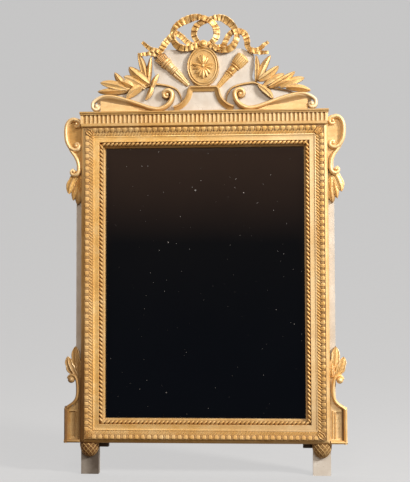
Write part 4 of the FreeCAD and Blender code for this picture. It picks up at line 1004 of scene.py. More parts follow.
def frame_lines(inset, short):
    """The four lengths of the frame at an inset, each cut short at its ends."""
    corners = frame_corners(inset)
    lines = []
    for (x0, z0), (x1, z1) in zip(corners, corners[1:] + corners[:1]):
        way = Vector((x1 - x0, z1 - z0)).normalized()
        lines.append([(x0 + way.x * short, z0 + way.y * short), (x1 - way.x * short, z1 - way.y * short)])
    return lines


def frame_ring(profile):
    """Mitred ring round the frame from a closed profile."""
    points = [(x * MM, (CARCASS_FACE - height) * MM, z * MM)
              for inset, height in profile for x, z in frame_corners(inset)]
    rings = [range(start, start + 4) for start in range(0, len(points), 4)]
    faces = [face for ring, after in zip(rings, rings[1:] + rings[:1]) for face in band(ring, after)]
    return new_mesh("frame_ring", points, faces)


def straight_bar(profile, half):
    """Bar along x from a closed profile of (z, y)."""
    points = [(x * MM, y * MM, z * MM) for x in (-half, half) for z, y in profile]
    ends = [tuple(range(start, start + len(profile))) for start in (0, len(profile))]
    return new_mesh("straight_bar", points, band(*ends) + ends)


def leaf_band_height(inset):
    """Height of the moulding's leaf band above the carcass."""
    return LEAF_CENTRE[1] + math.sqrt(max(LEAF_CURVE ** 2 - (inset - LEAF_CENTRE[0]) ** 2, 0.0))


def leaf_and_dart():
    """One leaf and the dart beside it."""
    unit = Carving(0.0)
    for middle, fall, across, table in (
            (0.0, 0.6, (-1.0, -0.72, -0.4, 0.0, 0.4, 0.72, 1.0), LEAF),
            (LEAF_PITCH / 2, 0.7, (-1.0, -0.4, 0.4, 1.0), DART)):
        rows = [[
            (middle + v * half, inset - LEAF_INSET,
             leaf_band_height(inset) + lift * (1 - fall * v * v) - groove * math.exp(-(v / 0.3) ** 2))
            for v in across] for inset, half, lift, groove in table]
        unit.shell(rows, leaf_band_height(LEAF_BAND_END) - 1.0)
    return unit


def hatch_ridge():
    """One slanting stroke of the hatched band inside the leaves."""
    unit = Carving(0.0)
    rows = []
    for z in (-4.6, -4.0, -2.0, 0.0, 2.0, 4.0, 4.6):
        rise = 1.3 if abs(z) < 4.2 else 0.1
        rows.append([
            (HATCH_SLANT * z + v * HATCH_HALF, z,
             HATCH_HEIGHT - HATCH_FALL * z + rise * (1 - v * v) - 0.5 * v * v)
            for v in (-1.0, -0.6, 0.0, 0.6, 1.0)])
    unit.shell(rows, HATCH_HEIGHT - 3.6)
    return unit


def rope_bead():
    """One strand of the twist, lying across the moulding on a slant."""
    unit = Carving(0.0)
    rows = []
    for row in range(7):
        angle = math.radians(-78 + 26 * row)
        z = ROPE_RADII[0] * math.sin(angle)
        top = ROPE_FOOT + ROPE_RADII[1] * math.cos(angle)
        rows.append([
            (ROPE_SLANT * z + v * ROPE_HALF * (0.45 + 0.55 * math.cos(angle) ** 0.7), z,
             top + 1.9 * (1 - v * v) - 1.0 * v * v)
            for v in (-1.0, -0.75, -0.35, 0.0, 0.35, 0.75, 1.0)])
    unit.shell(rows, ROPE_FOOT)
    return unit


def frame_row(carving, inset, pitch, short, unevenness, seed):
    """Row of a carved unit round the frame; the unit's lift is turned to its third axis."""
    carving.points = [(x, z, -y) for x, y, z in carving.points]
    unit = shown("unit", carving.mesh())
    row = grown(ROW_TREE, drawn_path(frame_lines(inset, short)), GILT["carved"], {
        "Unit": unit, "Pitch": pitch * MM, "Ground": CARCASS_FACE * MM, "Unevenness": unevenness, "Seed": seed})
    bpy.data.objects.remove(unit)
    return row


corner_leaves = Carving(CARCASS_FACE)
for _, x_sign in SIDES:
    for corner_z, z_sign in ((FRAME_TOP, 1), (FRAME_BOTTOM, -1)):
        outer, inner = ((x_sign * (FRAME_HALF - inset), corner_z - z_sign * inset) for inset in CORNER_LEAF)
        carve_leaf(corner_leaves, inner, outer, width=17.0, relief=10.0, lobes=3, low=27.0, rows=14, columns=13)
settle("moulding_leaf_row", joined(
    frame_row(leaf_and_dart(), LEAF_INSET, LEAF_PITCH, short=15.0, unevenness=0.04, seed=SEED),
    corner_leaves.mesh()), GILT["rows"])
settle("moulding_rope", frame_row(
    rope_bead(), ROPE_INSET, ROPE_PITCH, short=6.0, unevenness=0.03, seed=SEED + 1), GILT["rows"])
settle("moulding_cove_lining", frame_ring(COVE_LINING), GILT["cove"])
settle("frieze_lower_fillet", straight_bar(FRIEZE_FILLET, FILLET_HALF), GILT["cap"])
settle("moulding_hatched_band", frame_ring(HATCH_BAND), GILT["toned"])
settle("moulding_hatching", frame_row(
    hatch_ridge(), HATCH_INSET, HATCH_PITCH, short=6.0, unevenness=0.12, seed=SEED + 2), GILT["rows"])

# Pediment: base scrolls and their hatched grounds.
SCROLL_EYES = [(278.0, 16), (94.5, 44.0)]
SCROLL_PATH = [
    *reversed(volute(SCROLL_EYES[0], 5, -265, 10.5, 5.0)), (285.5, 28.5), (265, 40.5), (242, 42), (211, 35.5),
    (163.5, 18.8), (137, 9.5), (115, 6.8), (97.5, 14), (85, 27), *volute(SCROLL_EYES[1], 185, -330, 14, 5.0),
]
# The strip is broader towards the middle of the pediment.
SCROLL_SWELL = 0.32
SWELL_START, SWELL_REACH = 190.0, 80.0
SCROLL_WIDTHS = [
    share * (1.0 + SCROLL_SWELL * min(1.0, max(0.0, (SWELL_START - x) / SWELL_REACH)))
    for share, (x, _) in zip(taper(SCROLL_PATH, 5, 6, 0.65, 0.55), SCROLL_PATH)]
# Hollow below the scroll's bead: its middle line and the share of its full width.
SCROLL_HOLLOW = [(277, 24.5), (263, 31), (242, 32.5), (213, 26.5), (190, 18.5), (166, 10.5), (148, 5.5)]
SCROLL_HOLLOW_WIDTHS = [0.35, 0.8, 1.0, 1.0, 0.85, 0.6, 0.3]
SCROLL_GROUND = [
    (119, 4.5), (136.5, 7), (162.5, 15.5), (195, 27), (210, 32), (242, 38), (264, 36), (268, 30)]
SCROLL_GROUND_LIFT = 6.4
SCROLL_LINE_PITCH = 1.3
SCROLL_LINE_LIFT = 0.6


def scroll_ground(carving):
    """Sunk ground under the scroll, cut with upright lines."""
    edge = smooth_line(SCROLL_GROUND, 20)
    start, end = edge[0][0], edge[-1][0]
    count = round((end - start) / SCROLL_LINE_PITCH)
    rows = []
    for number in range(count + 1):
        x = start + (end - start) * number / count
        top = max(z for (a, z), (b, _) in zip(edge, edge[1:]) if a <= x + 1.0 and b >= x - 1.0)
        lift = SCROLL_GROUND_LIFT + (SCROLL_LINE_LIFT if number % 2 else 0.0)
        rows.append([(x, top * share, lift) for share in (0.0, 0.5, 1.0)])
    carving.shell(rows)
    return carving.mesh()


for side, sign in SIDES:
    place = {"ground": PEDIMENT_FACE, "z": CORNICE_TOP, "sign": sign}
    scroll = strip([SCROLL_PATH], ROUND_STRIP, width=9.6, relief=15.0, widths=[SCROLL_WIDTHS], **place)
    hollow = strip([SCROLL_HOLLOW[::sign]], SLOPE, width=14.0, relief=14.0,
                   widths=[SCROLL_HOLLOW_WIDTHS[::sign]], **place)
    eyes = Carving(**place)
    for eye, radius in zip(SCROLL_EYES, (6.4, 6.0)):
        button(eyes, eye, radius, lift=17.0)
    settle(f"{side}_base_scroll_ground", scroll_ground(Carving(**place)), GILT["hatched_ground"])
    settle_carved(f"{side}_base_scroll", "scroll", scroll, hollow, eyes.mesh())

# Curved plinth moulding under the medallion.
PLINTH_CENTRE = (88.0, 60.0)
PLINTH_CURVE = 53.0
PLINTH_TOP = [(34.6, 56.5), (33.0, 59.0), (30.0, 59.5), (20.0, 59.5), (10.0, 59.5), (0.0, 59.5)]


def plinth_line():
    curve = [(PLINTH_CENTRE[0] + PLINTH_CURVE * math.cos(math.radians(a)),
              PLINTH_CENTRE[1] + PLINTH_CURVE * math.sin(math.radians(a))) for a in range(258, 184, -6)]
    half = [(x, z) for x, z in curve if z > 1] + PLINTH_TOP
    return half + [(-x, z) for x, z in reversed(half[:-1])]


settle_carved("plinth_moulding", "plinth", strip(
    [plinth_line()], CAVETTO, width=14.0, relief=11.0, ground=PEDIMENT_FACE, z=CORNICE_TOP, step=1.6))

# Laurel branches.
LAUREL_STEM = [
    (57, 27), (61, 44), (70, 58), (83, 65), (97, 69), (114, 72), (130, 73), (143.5, 68), (163, 62), (188, 57),
    (217, 51), (236, 43)]
# base, tip, width, bend, low, roll
LAUREL_LEAVES = {
    "left": [
        ((147, 68), (170, 157), 20, 3, 0.0, -0.3), ((144, 66), (136, 147), 16, -2, 0.0, 0.3),
        ((140, 72), (194, 118), 29, -3, 4.0, 0.3), ((150, 63), (208, 94), 26, 3, 2.0, -0.3),
        ((192, 59), (232, 105), 21, -3, 0.0, 0.3), ((198, 60), (269, 78), 24, 3, 4.0, -0.3),
        ((188, 60), (276, 55), 19, -2, 1.0, 0.3), ((154, 69), (200, 35), 21, 3, 2.5, 0.35),
        ((134, 71), (151, 32), 15, -4, 1.5, -0.3), ((133, 59), (116, 99), 15, -4, 1.5, 0.3),
        ((180, 64), (215, 80), 16, 2, 5.0, 0.2),
    ],
    "right": [
        ((135, 73), (136, 145), 15, -4, 0.0, 0.3), ((140, 76), (173, 143), 20, 3, 3.0, -0.3),
        ((141, 77), (194, 114), 20, -3, 5.0, 0.3), ((154, 65), (208, 95), 18, 3, 1.5, -0.3),
        ((168, 60), (236, 99), 18, -3, 4.5, 0.3), ((197, 61), (260, 83), 22, 3, 2.0, -0.3),
        ((212, 58), (275, 49), 18, 3, 4.0, 0.3), ((141, 67), (179, 30), 18, 4, 1.5, -0.35),
        ((185, 62), (228, 75), 13, 2, 5.5, 0.2),
    ],
}
# No two leaves share a back plane, so none lies in the same place as another.
LAUREL_BACK_STEP = 0.15
LEAF_RELIEF = 11.0

for side, sign in SIDES:
    place = {"ground": PEDIMENT_FACE, "z": CORNICE_TOP, "sign": sign}
    stem = strip([LAUREL_STEM], ROUND_STRIP, width=6.0, relief=8.0,
                 widths=[taper(LAUREL_STEM, 3, 5, 0.6, 0.5)], **place)
    carving = Carving(**place)
    for number, (base, tip, width, bend, low, roll) in enumerate(LAUREL_LEAVES[side]):
        carve_leaf(carving, base, tip, width, LEAF_RELIEF, bend, low=low + LAUREL_BACK_STEP * number, curl=2.0,
                   roll=1.2 * roll, blunt=0.3, ridge=1.0)
    settle_carved(f"{side}_laurel", "laurel", stem, carving.mesh())

# Medallion with its posy, and the boss at the knot.
MEDALLION = (-1.0, 176.5)
MEDALLION_RADII = (41.5, 52.0)
MEDALLION_LIFT = 10.4
MEDALLION_PROFILE = [
    (1.0, 0.0), (1.0, 8.5), (0.985, 10.8), (0.955, 11.8), (0.925, 11.2), (0.905, 9.9), (0.885, 9.6),
    (0.868, 10.0), (0.845, 11.2), (0.82, 11.6), (0.795, 10.9), (0.775, 9.8), (0.755, 9.6), (0.6, 10.3),
    (0.3, 11.0)]
# Tip, width and relief of each leaf, from the medallion's middle.
POSY = [
    ((0, 31), 17, 8.5), ((-13, 25), 10, 6.5), ((13, 25), 10, 6.5), ((-27, 6), 8, 6.0), ((27, 6), 8, 6.0),
    ((-25, -6), 7, 5.5), ((25, -6), 7, 5.5), ((-19, -19), 8, 6.0), ((19, -19), 8, 6.0), ((0, -32), 11, 7.0),
    ((-11, -28), 9, 6.5), ((11, -28), 9, 6.5),
]
BOSS = (0.0, 234.5)
BOSS_RADII = (12.0, 12.0)
BOSS_PROFILE = [
    (1.0, 0.0), (1.0, 6.0), (0.97, 9.0), (0.9, 12.0), (0.8, 14.2), (0.68, 15.6), (0.58, 15.8), (0.54, 15.0),
    (0.5, 15.6), (0.42, 17.2), (0.3, 18.1), (0.15, 18.5)]

medallion = Carving(PEDIMENT_FACE)
medallion.round(MEDALLION, MEDALLION_RADII, MEDALLION_PROFILE, around=72)
settle_carved("medallion", "medallion", medallion.mesh())
rosette = Carving(PEDIMENT_FACE - MEDALLION_LIFT, x=MEDALLION[0], z=MEDALLION[1])
for tip, width, relief in POSY:
    carve_leaf(rosette, (tip[0] * 0.08, tip[1] * 0.08), tip, width, relief, rows=16, columns=13, fold=0.3,
               ridge=0.35, blunt=0.6)
button(rosette, (0.0, 1.0), radius=5.0, lift=7.0)
settle_carved("rosette", "medallion", rosette.mesh())
boss = Carving(PEDIMENT_FACE)
boss.round(BOSS, BOSS_RADII, BOSS_PROFILE, around=40)
settle_carved("ribbon_boss", "carved", boss.mesh())

# Ribbon: two loops that cross above the boss, and a forked tail on each side.
LOOPS = [
    [(-12, 172), (-41, 166), (-63, 172.5), (-75.5, 190.5), (-75.5, 212.5), (-61, 231.5), (-39, 242.5),
     (-17, 245), (4.5, 240), (23.5, 226), (31, 208.5), (30, 189), (15, 174)],
    [(12, 172), (45, 161), (68, 166), (81, 183.5), (84.5, 203), (77.5, 222.5), (62.5, 237), (43, 243.5),
     (21.5, 240), (-4.5, 229), (-17.5, 216), (-22, 196), (-13, 178)]]
LOOP_LIFTS = [[0.5, 2, 3, 4.5, 5, 4, 3.5, 4.5, 6, 5.5, 4, 3, 1], [0.5, 2, 3, 4.5, 5, 4, 3, 2, 0.5, 0.5, 2.5, 3, 1]]
LOOP_TILT = [0, 20, 34, 40, 10, -24, -22, -8, 6, 22, 30, 18, 0]
LOOP_WIDTHS = [0.8, 0.9, 1.12, 1.0, 0.86, 1.08, 1.2, 1.0, 0.86, 1.0, 1.1, 0.9, 0.8]
# The tail itself, then the upper and lower of its two ends.
TAILS = {
    "left": [
        [(-20, 172), (-33, 174), (-46, 184.5), (-61, 199), (-73, 204.5), (-85, 195), (-98, 182),
         (-106, 166), (-111.5, 155), (-124, 149.5), (-138, 152)],
        [(-112, 154), (-120, 159), (-133, 163), (-146, 172), (-159, 183)],
        [(-120, 150), (-138, 152), (-152, 150.5), (-166, 150)]],
    "right": [
        [(21, 171.5), (38.5, 165), (52.5, 171), (60.5, 188), (71, 202), (86, 206.5), (103.5, 199),
         (112.5, 183), (116.5, 167), (125.5, 156), (140, 152)],
        [(118, 158), (139, 157), (151, 163), (159, 170), (168, 178)],
        [(122, 157), (140, 152), (154, 151), (168, 150)]],
}
TAIL_LIFTS = [[0, 0, 0.5, 0.5, 0.5, 2, 3, 2.5, 2, 1.5, 0.5], [3, 2.5, 3, 3, 2.5], [0.5, 1, 1.5, 1]]
TAIL_WIDTHS = [
    [0.8, 0.85, 0.85, 0.85, 0.85, 0.95, 1, 0.95, 0.85, 0.8, 0.7], [0.7, 0.72, 0.7, 0.62, 0.5],
    [0.7, 0.7, 0.6, 0.5]]
TAIL_TILTS = [[0, 0, 0, 0, 0, -12, -18, 0, 20, 10, 0], [0, 10, -10, -16, 0], [0, 8, 10, 0]]
RIBBON_RIB = (12.0, 5.4)


def ribbon(lines, lifts, widths, tilts):
    return strip(lines, RIBBON, width=17.0, relief=8.0, ground=PEDIMENT_FACE, z=CORNICE_TOP, lifts=lifts,
                 widths=widths, tilts=tilts, step=0.8, rib=RIBBON_RIB)


settle_carved("ribbon_bow", "ribbon", ribbon(
    LOOPS, LOOP_LIFTS, [LOOP_WIDTHS, LOOP_WIDTHS], [[-t for t in LOOP_TILT], LOOP_TILT]))
for side, lines in TAILS.items():
    settle_carved(f"{side}_ribbon_tail", "ribbon", ribbon(lines, TAIL_LIFTS, TAIL_WIDTHS, TAIL_TILTS))


# Quiver of arrows and burning torch, crossed behind the medallion.
QUIVER = {"foot": (-38.6, 129.3), "lean": 135.2}
QUIVER_RINGS = [
    (49.4, 1.2, -1.6), (52.4, 1.8, 1.8), (56.4, 1.8, 1.8), (59.4, 1.2, -1.6), (74.6, 1.2, -1.6),
    (77.6, 1.8, 2.2), (80.6, 1.0, -1.6), (84.6, 2.8, 3.0)]
FEATHERS = 6
FEATHER_START, FEATHER_END = 82, 110
FEATHER_SPREAD = (10, 14)
FEATHER_SIZE = (8.5, 8.0)
TORCH = {"foot": (35.8, 122.7), "lean": 49.4}
TORCH_RINGS = [
    (46.2, 1.2, -1.6), (49.2, 1.8, 1.8), (52.2, 1.0, -1.4), (66.8, 1.2, -1.6), (70.0, 2.0, 2.4),
    (73.2, 1.0, -1.4), (74.0, 34.0, 2.0), (99.0, 26.0, 3.4)]
TURNED_COLUMNS = 41


def banded(length, radius, rings):
    """Profile along an axis: a straight taper with raised rings (place, half width, rise)."""
    profile = []
    for step in range(2 * length + 1):
        s = length * step / (2 * length)
        r = radius[0] + (radius[1] - radius[0]) * s / length
        for centre, half, rise in rings:
            if abs(s - centre) < half:
                r += rise * math.sqrt(1 - ((s - centre) / half) ** 2)
        profile.append((s, r))
    return profile


def reeds(count, depth, start, stop):
    """Reeding round a turned piece between two places along its axis."""
    return lambda s, angle: depth * abs(math.cos(count * angle)) if start < s < stop else 0.0


def lozenge(carving, foot, lean, place, length, width, low):
    """Small raised lozenge on the front of a turned piece."""
    ahead, _ = leaning(lean)
    base = Vector(foot) + ahead * (place - length / 2)
    carve_leaf(carving, base, base + ahead * length, width, 2.6, root=0.1, low=low, rows=10, columns=9, fold=0.0)


def feathers(carving, foot, lean):
    """Fan of feathers that leaves the end of the quiver, every other one raised."""
    ahead, across = leaning(lean)
    width, relief = FEATHER_SIZE
    for number in range(FEATHERS):
        share = 2 * number / (FEATHERS - 1) - 1
        raised = number % 2
        reach = FEATHER_END - 3 * share * share + 1.5 * raised
        base = Vector(foot) + ahead * FEATHER_START + across * (share * FEATHER_SPREAD[0])
        tip = Vector(foot) + ahead * reach + across * (share * FEATHER_SPREAD[1])
        low = (1 - share * share) * relief * 0.7 + 1.2 * raised
        carve_leaf(carving, base, tip, width, relief, -1.5 * share, low=low, root=0.9, columns=11, blunt=1.0)


quiver = Carving(PEDIMENT_FACE)
carve_turned(quiver, **QUIVER, profile=banded(length=88, radius=(5.5, 14.0), rings=QUIVER_RINGS),
             cuts=[reeds(count=4, depth=0.2, start=6, stop=48)], columns=TURNED_COLUMNS)
lozenge(quiver, **QUIVER, place=67.0, length=13.0, width=11.0, low=11.2)
feathers(quiver, **QUIVER)
settle_carved("quiver", "rubbed", quiver.mesh())

torch = Carving(PEDIMENT_FACE)
carve_turned(torch, **TORCH, profile=banded(length=108, radius=(4.6, 12.5), rings=TORCH_RINGS),
             cuts=[reeds(count=4, depth=0.2, start=4, stop=45), reeds(count=9, depth=0.1, start=74, stop=108)],
             columns=TURNED_COLUMNS, rounded=7.0)
lozenge(torch, **TORCH, place=59.5, length=12.0, width=10.0, low=10.6)
settle_carved("torch", "carved", torch.mesh())

# Side consoles: scroll strips and hanging leaf, drawn from the upper outer corner of the frame.
CONSOLE_EYES = [(12.5, 1), (13, -56), (19, -122.5)]
CONSOLE_C = [
    *reversed(volute(CONSOLE_EYES[0], 80, 250, 11, 5)), (22, 13.5), (31.5, 8.5), (38.5, -4), (40, -23.5),
    (37.5, -44), (29.5, -59.5), (21, -65.5), *volute(CONSOLE_EYES[1], -80, -240, 10.5, 5),
]
CONSOLE_S = [
    (34, -55), (26, -69.5), (16, -82.5), (8.5, -97.5), (6, -112), *volute(CONSOLE_EYES[2], 190, 260, 12, 4.5)]
# base, tip, width, bend, low
CONSOLE_LEAVES = [
    ((6, -130), (12, -208), 27, -2, 0.0), ((9, -124), (34, -180), 25, 5, 5.0),
    ((5, -126), (5.5, -176), 13, 1.5, 4.0), ((9, -136), (23, -197), 17, 2, 2.4),
]
# Lower brackets: edge strip with its volute, and leaves, drawn from the lower outer corner.
BRACKET_EYE = (24, 161)
BRACKET_CURVE = [
    (38, 87), (30.5, 93), (18, 102), (10, 114), (7.4, 131), (8, 149),
    *volute(BRACKET_EYE, 165, -150, 13, 9.5)]
BRACKET_RIM = [[(0.5, 5.0), (20, 5.0), (42, 5.0)], [(37.6, 0.5), (37.6, 48), (37.6, 88.5)]]
BRACKET_BEADS = [[(6, 16), (6, 84)], [(12.5, 14), (12.5, 80)]]
BRACKET_LEAVES = [
    ((6, 164), (15, 246), 27, -3, 4.0), ((11, 166), (35, 220), 24, -5, 7.0), ((5, 160), (5, 205), 12, 0, 6.0),
]


def side_leaves(leaves, corner, **look):
    carving = Carving(CARCASS_FACE, **corner)
    for base, tip, width, bend, low in leaves:
        carve_leaf(carving, base, tip, width, LEAF_RELIEF, bend, low=low, blunt=0.5, **look)
    return carving.mesh()


for side, sign in SIDES:
    corner = {"x": FRAME_HALF, "z": FRAME_TOP, "sign": sign}
    board = {"ground": SIDE_BOARD_FACE, **corner}
    strips = strip([CONSOLE_C, CONSOLE_S], ROUND_STRIP, width=10.6, relief=11.5,
                   widths=[taper(CONSOLE_C, 5, 5), taper(CONSOLE_S, 3, 5, 0.6)], **board)
    eyes = Carving(**board)
    for eye in CONSOLE_EYES:
        button(eyes, eye, radius=4.6, lift=12.5)
    settle_carved(f"{side}_console_scroll", "rubbed", strips, eyes.mesh())
    settle_carved(f"{side}_console_leaf", "leaves", side_leaves(
        CONSOLE_LEAVES, corner, lobes=2, curl=2.0, fold=0.6, ridge=0.55))

for side, sign in SIDES:
    corner = {"x": FRAME_HALF, "z": FRAME_BOTTOM, "sign": sign}
    board = {"ground": SIDE_BOARD_FACE, **corner}
    edge = strip([BRACKET_CURVE], ROUND_STRIP, width=8.0, relief=11.0,
                 widths=[taper(BRACKET_CURVE, 2, 5, 1.0, 0.7)], **board)
    rim = strip(BRACKET_RIM, ROUND_STRIP, width=8.8, relief=11.0, **board)
    beads = strip(BRACKET_BEADS, ROUND_STRIP, width=3.0, relief=3.0, **board)
    eye = Carving(**board)
    button(eye, BRACKET_EYE, radius=8.8, lift=15.0)
    settle_carved(f"{side}_bracket_edge", "carved", edge, rim, beads, eye.mesh())
    settle_carved(f"{side}_bracket_leaves", "leaves", side_leaves(
        BRACKET_LEAVES, corner, lobes=3, curl=1.5, fold=0.9, ridge=0.4))

# Cones on the feet, cut with a lattice.
CONE_RADIUS = 24.8
CONE_ROWS = 48
CONE_PROFILE = [
    (s, CONE_RADIUS * (1 - (s / (CONE_LENGTH * 1.01)) ** 2.6) ** 0.55)
    for s in (CONE_LENGTH * step / CONE_ROWS for step in range(CONE_ROWS + 1))]


def cone_lattice(place, angle):
    """Raised lattice lines over small pillows."""
    first, second = (math.sin(math.pi * place / LATTICE_PITCH + way * LATTICE_COUNT * angle) for way in (1, -1))
    ridge = max(math.exp(-(line / 0.3) ** 2) for line in (first, second))
    return 0.06 * ridge + 0.02 * abs(first * second) - 0.04


for side, sign in SIDES:
    cone = Carving(CARCASS_FACE, sign)
    carve_turned(cone, (CONE_CENTRE, FRAME_BOTTOM), -90, CONE_PROFILE, [cone_lattice], columns=85)
    settle_carved(f"{side}_foot_cone", "cone", cone.mesh())


# Nails and screws behind: one forged or slotted head, set wherever the part has a plain one.
def head_places(node):
    """Middle of the back end of each nail or screw of a node."""
    work = bmesh.new()
    work.from_mesh(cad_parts[node].data)
    bmesh.ops.remove_doubles(work, verts=work.verts, dist=SLIVER)
    waiting = set(work.verts)
    places = []
    while waiting:
        group = [waiting.pop()]
        for vertex in group:
            for edge in vertex.link_edges:
                other = edge.other_vert(vertex)
                if other in waiting:
                    waiting.remove(other)
                    group.append(other)
        low = [min(v.co[axis] for v in group) for axis in range(3)]
        high = [max(v.co[axis] for v in group) for axis in range(3)]
        places.append(((low[0] + high[0]) / 2, high[1], (low[2] + high[2]) / 2))
    work.free()
    return sorted(places)


def head_relief(radius, height):
    """Round head by chords across it: height is a function of the two places on the head."""
    unit = Carving(0.0)
    rows = []
    for share in (-0.985, -0.86, -0.64, -0.38, -0.15, -0.1, 0.1, 0.15, 0.38, 0.64, 0.86, 0.985):
        chord = math.sqrt(1 - share * share)
        rows.append([(radius * share, radius * chord * across, height(share, chord * across))
                     for across in (-1.0, -0.8, -0.45, -0.15, 0.15, 0.45, 0.8, 1.0)])
    unit.shell(rows, -3.0)
    return unit.mesh()


def forged_height(x, z):
    """Four hammered facets that meet near the middle."""
    return 0.35 - 0.75 * max(abs(x + 0.08), abs(z - 0.05)) ** 1.2


def slotted_height(x, z):
    """Low dome with one slot across."""
    dome = 0.35 - 0.45 * (x * x + z * z)
    return dome - (0.85 if abs(x) < 0.12 else 0.0)


FASTENERS = [
    ("back_board_nails", "forged", 2.6, forged_height),
    ("batten_screws", "slotted", 4.4, slotted_height),
    ("hanger_screws", "slotted", 3.2, slotted_height),
]
HEAD_TURN = 1.6
HEAD_SEED = SEED + 10
for number, (node, make, radius, height) in enumerate(FASTENERS):
    unit = shown("unit", head_relief(radius, height))
    heads = grown(HEADS_TREE, shown("head_places", new_mesh("head_places", head_places(node))), IRON, {
        "Unit": unit, "Turn": HEAD_TURN, "Seed": HEAD_SEED + number})
    bpy.data.objects.remove(unit)
    settle(f"{node}_{make}", heads, IRON, node)

for section in (ROUND_STRIP, RIBBON, SLOPE, CAVETTO):
    bpy.data.objects.remove(section)


# Materials of the CAD nodes that stay.
def pair(name):
    return [f"{side}_{name}" for side, _ in SIDES]


NODE_FINISHES = {
    GILT["moulding"]: ["top_moulding", "bottom_moulding", *pair("moulding")],
    GILT["fluted"]: ["frieze"],
    GILT["cap"]: ["cornice_cap"],
    GILT["console_ground"]: pair("console_board"),
    GILT["hatched_panel"]: pair("bracket_board"),
    CREAM: [*pair("stile"), "pediment_board"],
    **{finish: ["back_board_" + name] for name, finish in BOARD_WOODS.items()},
    BARE_WOOD: [*pair("batten"), "glass_blocks"],
    BARE_RAIL: ["top_rail", "bottom_rail"],
    DARK_WOOD_AND_SHADE: pair("corner_block"),
    MIRROR: ["mirror_plate"],
    BRASS: [*pair("hanger_plate"), *pair("hanger_ring")],
}
for finish, names in NODE_FINISHES.items():
    for name in names:
        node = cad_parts[name]
        node.data.materials.clear()
        node.data.materials.append(finish)


# Stage: pale paper that sweeps from the floor up behind the mirror, in metres.
FLOOR = -0.872
PAPER_BACK = 5.0
PAPER_BEND = 2.0
PAPER_HALF = 9.0


def paper_sweep():
    line = [(-6.0, FLOOR), (0.0, FLOOR), (PAPER_BACK - PAPER_BEND, FLOOR)]
    for step in range(1, 13):
        angle = math.pi / 2 * step / 12
        line.append((PAPER_BACK - PAPER_BEND + PAPER_BEND * math.sin(angle),
                     FLOOR + PAPER_BEND - PAPER_BEND * math.cos(angle)))
    line.append((PAPER_BACK, 6.0))
    points = [(x, y, z) for y, z in line for x in (-PAPER_HALF, PAPER_HALF)]
    mesh = new_mesh("paper_sweep", points, [(a, a + 1, a + 3, a + 2) for a in range(0, len(points) - 2, 2)])
    for face in mesh.polygons:
        face.use_smooth = True
    sweep = shown("paper_sweep", mesh)
    material, graph, coords = new_finish("studio_paper")
    fleck = graph.noise(coords, 60.0, 3.0)
    mesh.materials.append(surfaced(material, graph, {
        "Base Color": graph.ramp(fleck, [(0.3, (0.13, 0.13, 0.13)), (0.7, (0.14, 0.14, 0.14))]),
        "Roughness": 0.95, "Specular IOR Level": 0.0, "Emission Color": (0.50, 0.505, 0.51, 1),
        "Emission Strength": 1.0}))
    sweep.visible_glossy = False
    sweep.visible_diffuse = False


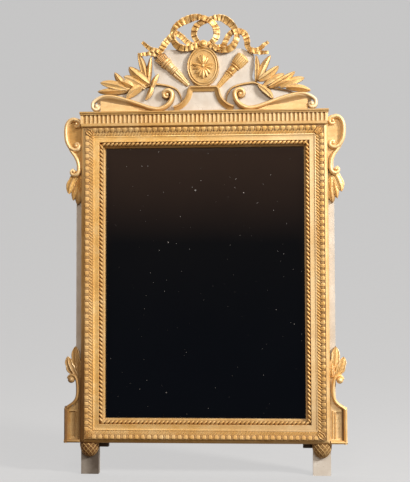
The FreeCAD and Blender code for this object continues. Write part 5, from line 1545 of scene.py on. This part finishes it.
def studio_world():
    """Soft light, strongest from the right and above, with a dark gap where the camera stands."""
    world = bpy.data.worlds.new("studio")
    world.use_nodes = True
    world.node_tree.nodes.clear()
    graph = Graph(world.node_tree)
    x, y, z = graph.axes(graph.lay("ShaderNodeTexCoord", output="Generated"))
    side = graph.ramp(x.step(-1.0, 1.0), [
        (0.0, (0.31, 0.22, 0.16)), (0.5, (0.34, 0.25, 0.185)), (1.0, (0.54, 0.45, 0.38))])
    above = z.step(0.1, 1.0, 0.0, 0.15) + y.step(0.0, 0.6, 0.0, 0.9)
    light = graph.mix(1.0, side, graph.lay("ShaderNodeCombineColor", {
        "Red": above, "Green": above, "Blue": above}), "ADD")
    gap = (y * -1.0).step(0.86, 0.975)
    dusk = graph.ramp(z.step(-0.1, 0.16), [
        (0.0, (0.010, 0.012, 0.017)), (0.6, (0.016, 0.016, 0.018)), (1.0, (0.10, 0.062, 0.045))])
    colour = graph.stain(
        light, (z.step(0.05, -0.5, 0.0, 0.75), (0.05, 0.035, 0.025)), (gap, dusk),
        (graph.lay("ShaderNodeLightPath", output="Is Camera Ray"), (0.58, 0.58, 0.58)))
    back = graph.lay("ShaderNodeBackground", {"Color": colour, "Strength": 1.0})
    graph.add("ShaderNodeOutputWorld", {"Surface": back})
    bpy.context.scene.world = world


def soft_lamp(name, place, target, size, power, colour):
    lamp = bpy.data.lights.new(name, "AREA")
    lamp.shape = "DISK"
    lamp.size = size
    lamp.energy = power
    lamp.color = colour
    holder = shown(name, lamp)
    holder.location = place
    aim = Vector(target) - Vector(place)
    holder.rotation_euler = aim.to_track_quat("-Z", "Y").to_euler()
    holder.visible_camera = False


paper_sweep()
studio_world()
soft_lamp("key_lamp", (2.7, -2.05, 1.25), (0.0, 0.0, -0.3), 0.75, 150.0, (1.0, 0.97, 0.93))
soft_lamp("front_lamp", (-0.1, -2.4, 1.1), (0.0, 0.0, -0.3), 0.8, 21.0, (1.0, 0.94, 0.86))
soft_lamp("low_lamp", (1.3, -2.2, -0.1), (0.1, 0.0, -0.6), 0.8, 9.0, (1.0, 0.94, 0.86))

# Camera where the photograph was taken from.
CAMERA_PLACE = (0.16386, -2.6, -0.40097)
YAW = math.radians(3.6106)
PITCH = math.radians(2.8174)
ROLL = math.radians(-0.1703)
FOCAL_PIXELS = 1000.0
PHOTO_HEIGHT = 482.0
level_right = Vector((math.cos(YAW), math.sin(YAW), 0.0))
level_ahead = Vector((-math.sin(YAW), math.cos(YAW), 0.0))
up = Vector((0.0, 0.0, 1.0))
ahead = level_ahead * math.cos(PITCH) + up * math.sin(PITCH)
tilted_up = up * math.cos(PITCH) - level_ahead * math.sin(PITCH)
right = level_right * math.cos(ROLL) + tilted_up * math.sin(ROLL)
upward = tilted_up * math.cos(ROLL) - level_right * math.sin(ROLL)
view = bpy.data.cameras.new("camera")
view.sensor_width = 36.0
view.lens = view.sensor_width * FOCAL_PIXELS / PHOTO_HEIGHT
camera = shown("camera", view)
camera.matrix_world = Matrix.Translation(CAMERA_PLACE) @ Matrix((right, upward, -ahead)).transposed().to_4x4()
bpy.context.scene.camera = camera
bpy.context.scene.view_settings.view_transform = "Standard"
